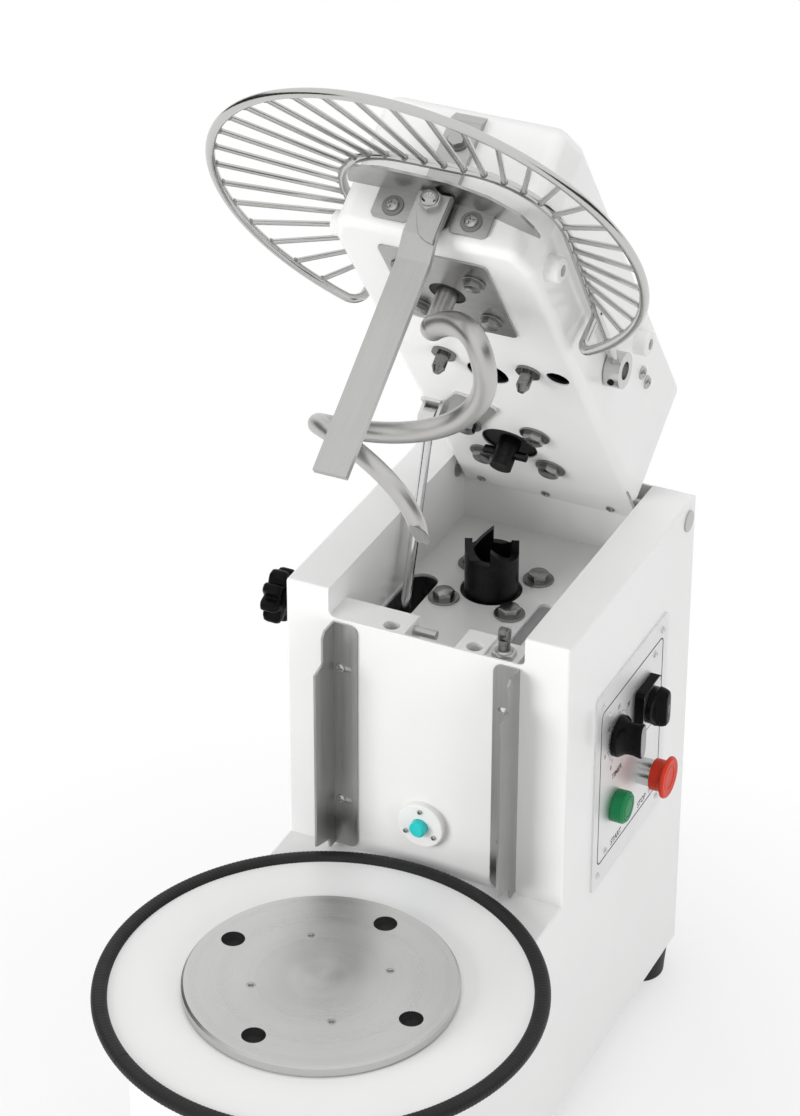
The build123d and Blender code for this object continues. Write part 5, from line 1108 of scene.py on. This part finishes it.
@dataclass
class Turntable:
    """Bowl platform: its ribbed rubber edge and the screws in its disc."""

    trim_r: float = 192.5
    trim_width: float = 14.0
    trim_height: float = 12.0
    trim_z: float = 261.7
    ribs: int = 300
    joint_angle: float = math.radians(236.0)
    disc_top: float = 273.7
    screw_circle: float = 59.0
    screw_angle: float = 35.0
    screw_r: float = 4.0
    screw_h: float = 3.0
    seat_circle: float = 92.5
    seat_angle: float = -10.0
    seat_r: float = 10.2
    disc_low: float = 264.7

    def edge(self, finishes: Finishes) -> None:
        """Bead round the platform: a rounded section carried round, its outer half raised in fine cross ribs.

        At angle a the section is grown by d cos(n a), and drawn in where the two ends butt.
        """
        steps = self.ribs * 4
        angle = np.linspace(0.0, 2 * math.pi, steps, endpoint=False)
        section = rounded_outline((self.trim_width / 2, self.trim_height / 2), 5.5, 6)
        ends = np.exp(-((angle - self.joint_angle) / 0.004) ** 2)
        grow = 1.0 + 0.02 * np.cos(self.ribs * angle) - 0.12 * ends
        across = self.trim_r - self.trim_width / 2 - 0.1 + section[None, :, 0] * grow[:, None]
        rise = self.trim_z + section[None, :, 1] * grow[:, None]
        rings = np.stack([across * np.cos(angle)[:, None], across * np.sin(angle)[:, None], rise], axis=-1)
        piece("platform_bead", skin(rings, loop=True), Place.STANDING, "cabinet_body",
              finishes["rubber"], ("edge_trim",), sharp=60.0)

    def screws(self, finishes: Finishes) -> None:
        """Flush socket screws in the disc."""
        head = screw_head(self.screw_r, self.screw_h, Drive.HEX, crown=0.08, length=9.0)
        turns = np.radians(self.screw_angle + 90.0 * np.arange(4))
        low = self.disc_top - self.screw_h
        shapes = [head.moved(np.eye(3),
                             (self.screw_circle * math.cos(t), self.screw_circle * math.sin(t), low))
                  for t in turns]
        piece("disc_socket_screws", joined(shapes), Place.STANDING, "turntable",
              finishes["zinc_plate"], ("disc_screws",))

    def seats(self, finishes: Finishes) -> None:
        """Painted shade: dark rubber pads at the bottom of the bowl's seat holes stand for the shade down in
        them.
        """
        pad = lathe(((self.seat_r, 0.2), (self.seat_r, 1.0)), 48)
        turns = np.radians(self.seat_angle + 90.0 * np.arange(4))
        places = [(self.seat_circle * math.cos(t), self.seat_circle * math.sin(t), self.disc_low)
                  for t in turns]
        # painted shade: dark pads at the bottom of the seat holes
        piece("painted_seat_shade", joined(pad.moved(np.eye(3), at) for at in places), Place.STANDING, "turntable",
              finishes["rubber"])

    def build(self, finishes: Finishes) -> None:
        """Make the edge, the screws and the pads of painted shade."""
        self.edge(finishes)
        self.screws(finishes)
        self.seats(finishes)


@dataclass
class SpiralTool:
    """Kneading spiral: a tapering rod that leaves its shaft and winds down once."""

    axis: Pair = (-1.0, 91.0)
    shaft_r: float = 9.0
    shaft_top: float = 560.0
    neck: float = 458.6
    leave: float = math.radians(-38.0)
    leave_rise: float = 0.22
    shoulder: float = 430.8
    radius: float = 57.0
    pitch: float = 150.0
    start: float = math.radians(-4.0)
    end: float = math.radians(372.0)
    rod: Pair = (10.7, 7.0)
    pull: Pair = (25.6, 48.2)
    tip: float = 279.5

    def path(self) -> Points:
        """Centre line: a Bezier off the axis, then a helix (R cos a, R sin a, s - p (a - a0) / 2 pi)."""
        drop = self.pitch / (2 * math.pi)
        c, s = math.cos(self.start), math.sin(self.start)
        first = np.array((0.0, 0.0, self.neck))
        last = np.array((self.radius * c, self.radius * s, self.shoulder))
        along = unit(np.array((-self.radius * s, self.radius * c, -drop)))
        away = np.array((math.cos(self.leave), math.sin(self.leave), self.leave_rise))
        t = np.linspace(0.0, 1.0, 40, endpoint=False)[:, None]
        second, third = first + away * self.pull[0], last - along * self.pull[1]
        neck = (first * (1 - t) ** 3 + second * 3 * (1 - t) ** 2 * t + third * 3 * (1 - t) * t ** 2
                + last * t ** 3)
        angle = np.linspace(self.start, self.end, 161)
        coil = np.stack([self.radius * np.cos(angle), self.radius * np.sin(angle),
                         self.shoulder - drop * (angle - self.start)], axis=1)
        return np.concatenate([neck, coil])

    def build(self, finishes: Finishes) -> None:
        """Sweep the rod, cut it level at its tip, and add the round elbow and the shaft."""
        path = self.path()
        rod = tube(path, np.linspace(self.rod[0], self.rod[1], len(path)), np.array((0.0, 0.0, 1.0)), 40)
        along = unit(path[-1] - path[-2])
        short = np.clip(self.tip - rod.points[:, 2:], 0.0, None)
        rod = Surface(rod.points + along * short / along[2], rod.quads, rod.tris)
        turn = np.radians(np.linspace(-88.0, 88.0, 25))
        ball = self.rod[0] + 0.2
        elbow = lathe(list(zip(ball * np.cos(turn), self.neck + ball * np.sin(turn))), 48)
        shaft = lathe(((self.shaft_r, self.neck), (self.shaft_r, self.shaft_top)), 48)
        shape = joined((rod, elbow, shaft)).moved(np.eye(3), (*self.axis, 0.0))
        piece("kneading_spiral", shape, Place.HEAD, "spiral_tool", finishes["spiral_steel"],
              ("spiral",))


@dataclass
class Head:
    """Lifting head: its bolts, screws and the clamp that holds the breaker bar."""

    spiral_axis: Pair = (-1.0, 91.0)
    drive_axis: Pair = (-16.0, 376.5)
    bolt_half: float = 32.0
    bolt_flats: Pair = (13.0, 17.0)
    bolt_height: Pair = (5.3, 6.4)
    washer_r: Pair = (10.0, 14.0)
    washer_t: float = 1.8
    plate_under: float = 491.4
    under: float = HEAD_UNDER
    hinge_y: float = 471.2
    hinge_x: tuple[float, ...] = (-67.0, -3.5, 60.0)
    tab_x: Pair = (-35.0, 34.0)
    tab_y: float = 2.0
    tab_z: float = 515.8
    tab_washer: Pair = (9.2, 1.0)
    tab_screw: Pair = (5.6, 3.2)
    strap: Spot = (-1.85, -2.0, 582.0)
    strap_washer: Pair = (9.6, 1.6)
    bar: Spot = (1.5, -10.0, 519.0)
    clamp_outline: tuple[Pair, ...] = (
        (-12.6, 527.0), (-10.3, 515.6), (-7.1, 505.6), (-2.7, 496.1), (1.2, 489.6), (3.4, 487.2),
                                       (7.6, 485.3),
        (11.8, 483.6), (15.2, 483.1), (15.6, 527.0))
    clamp_t: float = 2.0
    seal_r: Pair = (9.3, 15.8)
    seal_z: Pair = (492.2, 496.0)
    # painted shade in the head's holes: height of the dark rings, then x, y and radius of each
    liner_z: Pair = (494.8, 497.4)
    liners: tuple[Spot, ...] = ((67.3, 216.3, 10.46), (-2.0, 236.0, 18.96), (-16.0, 376.5, 25.96))
    screw_r: float = 4.2
    screw_h: float = 2.4
    bracket_t: float = 3.0
    cup_x: float = 96.0
    cups: tuple[Pair, ...] = ((53.0, 515.0), (303.0, 583.0))
    side_x: float = 89.0
    side_screws: tuple[Pair, ...] = ((342.5, 573.0), (361.8, 573.7))

    def bolt_places(self) -> tuple[list[Spot], list[Spot]]:
        """Seats of the bolts round the spiral and the drive; one clamps the spring's bracket."""
        corners = [(i * self.bolt_half, j * self.bolt_half) for i in (-1, 1) for j in (-1, 1)]
        (x, y), (u, v) = self.spiral_axis, self.drive_axis
        drops = (self.bracket_t, 0.0, 0.0, 0.0)
        front = [(x + i, y + j, self.plate_under) for i, j in corners]
        return front, [(u + i, v + j, self.under - drop) for (i, j), drop in zip(corners, drops)]

    def tab_places(self) -> list[Spot]:
        """Seats of the front screws' washers."""
        return [(x, self.tab_y, self.tab_z) for x in self.tab_x]

    def bolts(self, finishes: Finishes) -> None:
        """Bearing bolts and hinge screws under the head, and the washers there and in front."""
        down = axes_along((0, 0, -1))
        heads, flats = [], []
        for places, across, height, reach in zip(self.bolt_places(), self.bolt_flats, self.bolt_height,
                                                 self.washer_r):
            bolt, flat = hex_head(across, height), washer(reach, self.washer_t, 5.2)
            heads += [bolt.moved(down, (x, y, z - self.washer_t)) for x, y, z in places]
            flats += [flat.moved(down, at) for at in places]
        screw = screw_head(self.screw_r, self.screw_h, Drive.CROSS)
        heads += [screw.moved(down, (x, self.hinge_y, self.under)) for x in self.hinge_x]
        front = axes_along((0, -1, 0))
        flats += [washer(*self.tab_washer, 2.1, 0.3).moved(front, at) for at in self.tab_places()]
        flats.append(washer(*self.strap_washer, 5.2).moved(front, self.strap))
        piece("head_bolts", joined(heads), Place.HEAD, "head", finishes["bolt_steel"])
        piece("head_washers", joined(flats), Place.HEAD, "head", finishes["washer_plate"])

    def screws(self, finishes: Finishes) -> None:
        """Front screws, the strap's bolt and the bar's cap nut."""
        front = axes_along((0, -1, 0))
        large = screw_head(*self.tab_screw, Drive.CROSS, crown=0.6)
        shapes = [large.moved(front, (x, y - self.tab_washer[1], z)) for x, y, z in self.tab_places()]
        piece("head_screws", joined(shapes), Place.HEAD, "head", finishes["zinc_plate"],
              ("head_fasteners",))
        (x, y, z), (u, v, w) = self.bar, self.strap
        nut = hex_head(self.bolt_flats[1], 6.0, 6.0).moved(front, (x, y - self.clamp_t, z))
        bolt = hex_head(self.bolt_flats[0], self.bolt_height[0]).moved(front,
                                                                       (u, v - self.strap_washer[1], w))
        piece("bar_cap_nut", joined((nut, bolt)), Place.HEAD, "head", finishes["nut_chrome"])

    def clamp(self, finishes: Finishes) -> None:
        """Tab over the top of the breaker bar, cut away in a curve on its left, with a broken rim."""
        shape = plate(np.array(self.clamp_outline), 0.0, self.clamp_t, 0.5).moved(axes_along((0, -1, 0)),
                                                                                  (0.0, self.bar[1], 0.0))
        piece("bar_clamp_tab", shape, Place.HEAD, "head", finishes["bar_steel"])

    def seal(self, finishes: Finishes) -> None:
        """Dark seal round the spiral's shaft in the hole of its plate."""
        (inner, outer), (low, high) = self.seal_r, self.seal_z
        profile = ((inner, low + 0.6), (inner + 0.6, low), (outer, low), (outer, high), (inner, high))
        shape = turned_ring(profile, 72).moved(np.eye(3), (*self.spiral_axis, 0.0))
        piece("spiral_seal", shape, Place.HEAD, "head", finishes["rubber"])

    def hole_liners(self, finishes: Finishes) -> None:
        """Painted shade: thin dark rubber rings on the walls of the holes in the base plate, under the head's
        hollow, stand for the shade inside them.
        """
        low, high = self.liner_z
        rings = [turned_ring(((r - 0.12, low), (r, low), (r, high), (r - 0.12, high)), 64).moved(np.eye(3),
                                                                                                 (x, y, 0.0))
                 for x, y, r in self.liners]
        # painted shade: dark rings put on the hole walls in place of the shade inside the holes
        piece("hole_liners", joined(rings), Place.HEAD, "head", finishes["rubber"])

    def side_fixings(self, finishes: Finishes) -> None:
        """Dark screws at the bottom of the bumpers' cups, and two pan screws on the right side."""
        dark = screw_head(4.2, 2.2, Drive.CROSS, length=2.0)
        sides = [(side, axes_along((side, 0, 0))) for side in (-1, 1)]
        cups = [dark.moved(axes, (side * self.cup_x, y, z)) for side, axes in sides for y, z in self.cups]
        piece("bumper_screws", joined(cups), Place.HEAD, "head", finishes["black_oxide"])
        pan = screw_head(6.2, 3.4, Drive.CROSS, crown=0.7, length=2.0)
        heads = [pan.moved(axes_along((1, 0, 0)), (self.side_x, y, z)) for y, z in self.side_screws]
        piece("side_pan_screws", joined(heads), Place.HEAD, "head", finishes["zinc_plate"])

    def build(self, finishes: Finishes) -> None:
        """Make every piece of the head."""
        self.bolts(finishes)
        self.screws(finishes)
        self.clamp(finishes)
        self.seal(finishes)
        self.hole_liners(finishes)
        self.side_fixings(finishes)


@dataclass
class Guard:
    """Wire guard: weld beads where its bars meet the hoops, and the set screws in its collars."""

    hoop_r: float = 184.7
    hoop_y: float = 1.5
    low: float = 490.0
    high: float = 532.5
    half: float = 99.0
    front: float = -28.5
    corner: float = 70.0
    per_side: int = 15
    step: float = 9.28
    stride: float = 16.93
    collar_mid: float = 97.0
    rod_r: float = 4.0
    bead: float = 3.1

    def ends(self) -> tuple[Points, Points]:
        """Where each bar meets the outer hoop, by angle, and the inner hoop, by distance along it."""
        index = np.arange(self.per_side) + 0.5
        turn = np.radians(self.step * index)
        outer = np.stack([self.hoop_r * np.sin(turn), self.hoop_y - self.hoop_r * np.cos(turn),
                          np.full(self.per_side, self.low)], axis=1)
        way = self.stride * index
        flat = self.half - self.corner
        bend = np.clip((way - flat) / self.corner, 0.0, math.pi / 2)
        back = np.clip(way - flat - self.corner * math.pi / 2, 0.0, None)
        inner = np.stack([np.minimum(way, flat) + self.corner * np.sin(bend),
                          self.front + self.corner * (1 - np.cos(bend)) + back,
                          np.full(self.per_side, self.high)], axis=1)
        return outer, inner

    def build(self, finishes: Finishes) -> None:
        """Set a flat bead at both ends of every bar and of its mirror image, and a screw in each collar."""
        outer, inner = self.ends()
        lean = unit(inner - outer)
        bead = lathe(((2.3, -1.2), (self.bead, -0.5), (self.bead, 0.4), (2.5, 1.4)), 12)
        seats = np.concatenate([outer + lean * self.rod_r, inner - lean * self.rod_r])
        ways = np.concatenate([lean, -lean])
        flip = np.array((-1.0, 1.0, 1.0))
        shapes = [bead.moved(axes_along(way * side), at * side) for side in (np.ones(3), flip) for at,
                  way in zip(seats, ways)]
        piece("guard_welds", joined(shapes), Place.GUARD, "guard", finishes["weld_steel"])
        screw = screw_head(3.0, 1.2, Drive.HEX, crown=0.1, length=3.0)
        y, z = PIVOT
        out = axes_along((0.0, -0.25, -1.0))
        heads = [screw.moved(out, (side * self.collar_mid, y - 3.9, z - 15.5)) for side in (-1, 1)]
        piece("guard_set_screws", joined(heads), Place.GUARD, "guard", finishes["black_oxide"])


@dataclass
class Studio:
    """Pale floor, soft lamps and the camera."""

    eye: Spot = (1.12003, -2.38974, 2.19638)
    yaw: float = math.radians(25.678)
    pitch: float = math.radians(29.564)
    focal: float = 3717.4
    middle: Pair = (382.14, 439.89)
    picture: tuple[int, int] = (800, 1116)
    sensor: float = 36.0

    def camera(self) -> None:
        """Stand the camera where the picture was taken; its shift is the offset of the middle."""
        data = bpy.data.cameras.new("camera")
        data.sensor_fit = "AUTO"
        data.sensor_width = self.sensor
        width, height = self.picture
        data.lens = self.focal * self.sensor / height
        data.shift_x = (width / 2 - self.middle[0]) / height
        data.shift_y = -(height / 2 - self.middle[1]) / height
        data.clip_start, data.clip_end = 0.05, 50.0
        made = bpy.data.objects.new("camera", data)
        made.location = self.eye
        made.rotation_euler = (math.pi / 2 - self.pitch, 0.0, self.yaw)
        bpy.context.scene.collection.objects.link(made)
        bpy.context.scene.camera = made

    def lamp(self, name: str, at: Sequence[float], aim: Sequence[float], size: float, power: float) -> None:
        """Hang a square soft lamp at a point, looking at another."""
        data = bpy.data.lights.new(name, "AREA")
        data.shape = "SQUARE"
        data.size = size
        data.energy = power
        made = bpy.data.objects.new(name, data)
        made.location = at
        rows = axes_along(np.asarray(at, dtype=float) - np.asarray(aim, dtype=float))
        made.rotation_mode = "QUATERNION"
        made.rotation_quaternion = Matrix(rows.T.tolist()).to_quaternion()
        made.visible_camera = False
        made.visible_glossy = False
        bpy.context.scene.collection.objects.link(made)

    def card(self, name: str, turns: Pair, heights: Pair, reach: float = 3.4) -> None:
        """Stand a dark curved card, for reflections only; its points are (R cos a, R sin a, z)."""
        angle = np.radians(np.linspace(*turns, 33))
        rows = [np.column_stack([reach * np.cos(angle), reach * np.sin(angle), np.full(33, z)])
                for z in heights]
        mesh = bpy.data.meshes.new(name)
        faces = [(i, i + 1, i + 34, i + 33) for i in range(32)]
        mesh.from_pydata(np.concatenate(rows).tolist(), [], faces)
        material = bpy.data.materials.new(name)
        material.use_nodes = True
        shader = material.node_tree.nodes["Principled BSDF"]
        shader.inputs["Base Color"].default_value = (0.03, 0.03, 0.03, 1.0)
        shader.inputs["Roughness"].default_value = 1.0
        mesh.materials.append(material)
        made = bpy.data.objects.new(name, mesh)
        made.visible_camera = made.visible_diffuse = made.visible_shadow = made.visible_transmission = False
        bpy.context.scene.collection.objects.link(made)

    def world(self, level: float) -> None:
        """White backdrop for the camera and for reflections, and a plain level of light for the rest."""
        world = bpy.data.worlds.new("studio")
        bpy.context.scene.world = world
        world.use_nodes = True
        graph = Graph(world.node_tree)
        path = graph.add("LightPath")
        seen = graph.math("MAXIMUM", path.outputs["Is Camera Ray"], path.outputs["Is Glossy Ray"])
        seen = graph.math("MAXIMUM", seen, path.outputs["Is Transmission Ray"])
        strength = graph.range(seen, level, 1.0)
        back = world.node_tree.nodes["Background"]
        back.inputs["Color"].default_value = (1.0, 1.0, 1.0, 1.0)
        graph.tree.links.new(strength, back.inputs["Strength"])

    def floor(self) -> None:
        """Pale floor that keeps the shadow near the machine and fades to white further out."""
        half = 6.0
        mesh = bpy.data.meshes.new("floor")
        mesh.from_pydata([(-half, -half, 0), (half, -half, 0), (half, half, 0), (-half, half, 0)], [],
                         [(0, 1, 2, 3)])
        material = bpy.data.materials.new("floor")
        material.use_nodes = True
        graph = Graph(material.node_tree)
        shader = material.node_tree.nodes["Principled BSDF"]
        shader.inputs["Base Color"].default_value = (0.86, 0.86, 0.86, 1.0)
        shader.inputs["Roughness"].default_value = 0.7
        vector = graph.add("TexCoord").outputs["Object"]
        reach = graph.add("VectorMath", {0: vector}, operation="LENGTH").outputs["Value"]
        path = graph.add("LightPath")
        seen = graph.math("MAXIMUM", path.outputs["Is Camera Ray"], path.outputs["Is Glossy Ray"])
        white = graph.add("Emission", {"Color": (1.0, 1.0, 1.0, 1.0), "Strength": 1.0})
        far = graph.math("MULTIPLY", seen, graph.range(reach, 0.6, 1.0, 0.3, 0.65))
        mix = graph.add("MixShader", {0: far, 1: shader.outputs[0], 2: white.outputs[0]})
        graph.tree.links.new(mix.outputs[0], material.node_tree.nodes["Material Output"].inputs["Surface"])
        mesh.materials.append(material)
        made = bpy.data.objects.new("floor", mesh)
        bpy.context.scene.collection.objects.link(made)

    def build(self) -> None:
        """Set up the whole studio."""
        bpy.context.scene.view_settings.view_transform = "Standard"
        self.camera()
        self.world(0.42)
        self.floor()
        self.card("left_card", (150.0, 235.0), (0.3, 1.9))
        self.card("right_card", (-35.0, 40.0), (0.3, 1.9))
        self.lamp("key", (-3.4, -4.8, 1.9), (0.0, 0.0, 0.4), 3.2, 250.0)
        self.lamp("fill", (4.0, -1.6, 1.2), (0.0, 0.0, 0.4), 2.4, 60.0)
        self.lamp("top", (0.2, 0.2, 6.0), (0.0, 0.0, 0.5), 4.4, 145.0)
        LOG.info("studio ready")


def main() -> None:
    """Dress the frame, build each sub-assembly's pieces and set up the studio."""
    logging.basicConfig(level=logging.INFO, format="%(name)s: %(message)s")
    finishes = Finishes(Effects())
    dress_frame(finishes)
    for assembly in (Cabinet(), Controls(), Turntable(), SpiralTool(), Head(), Guard()):
        assembly.build(finishes)
    Studio().build()


if __name__ == "__main__":
    main()
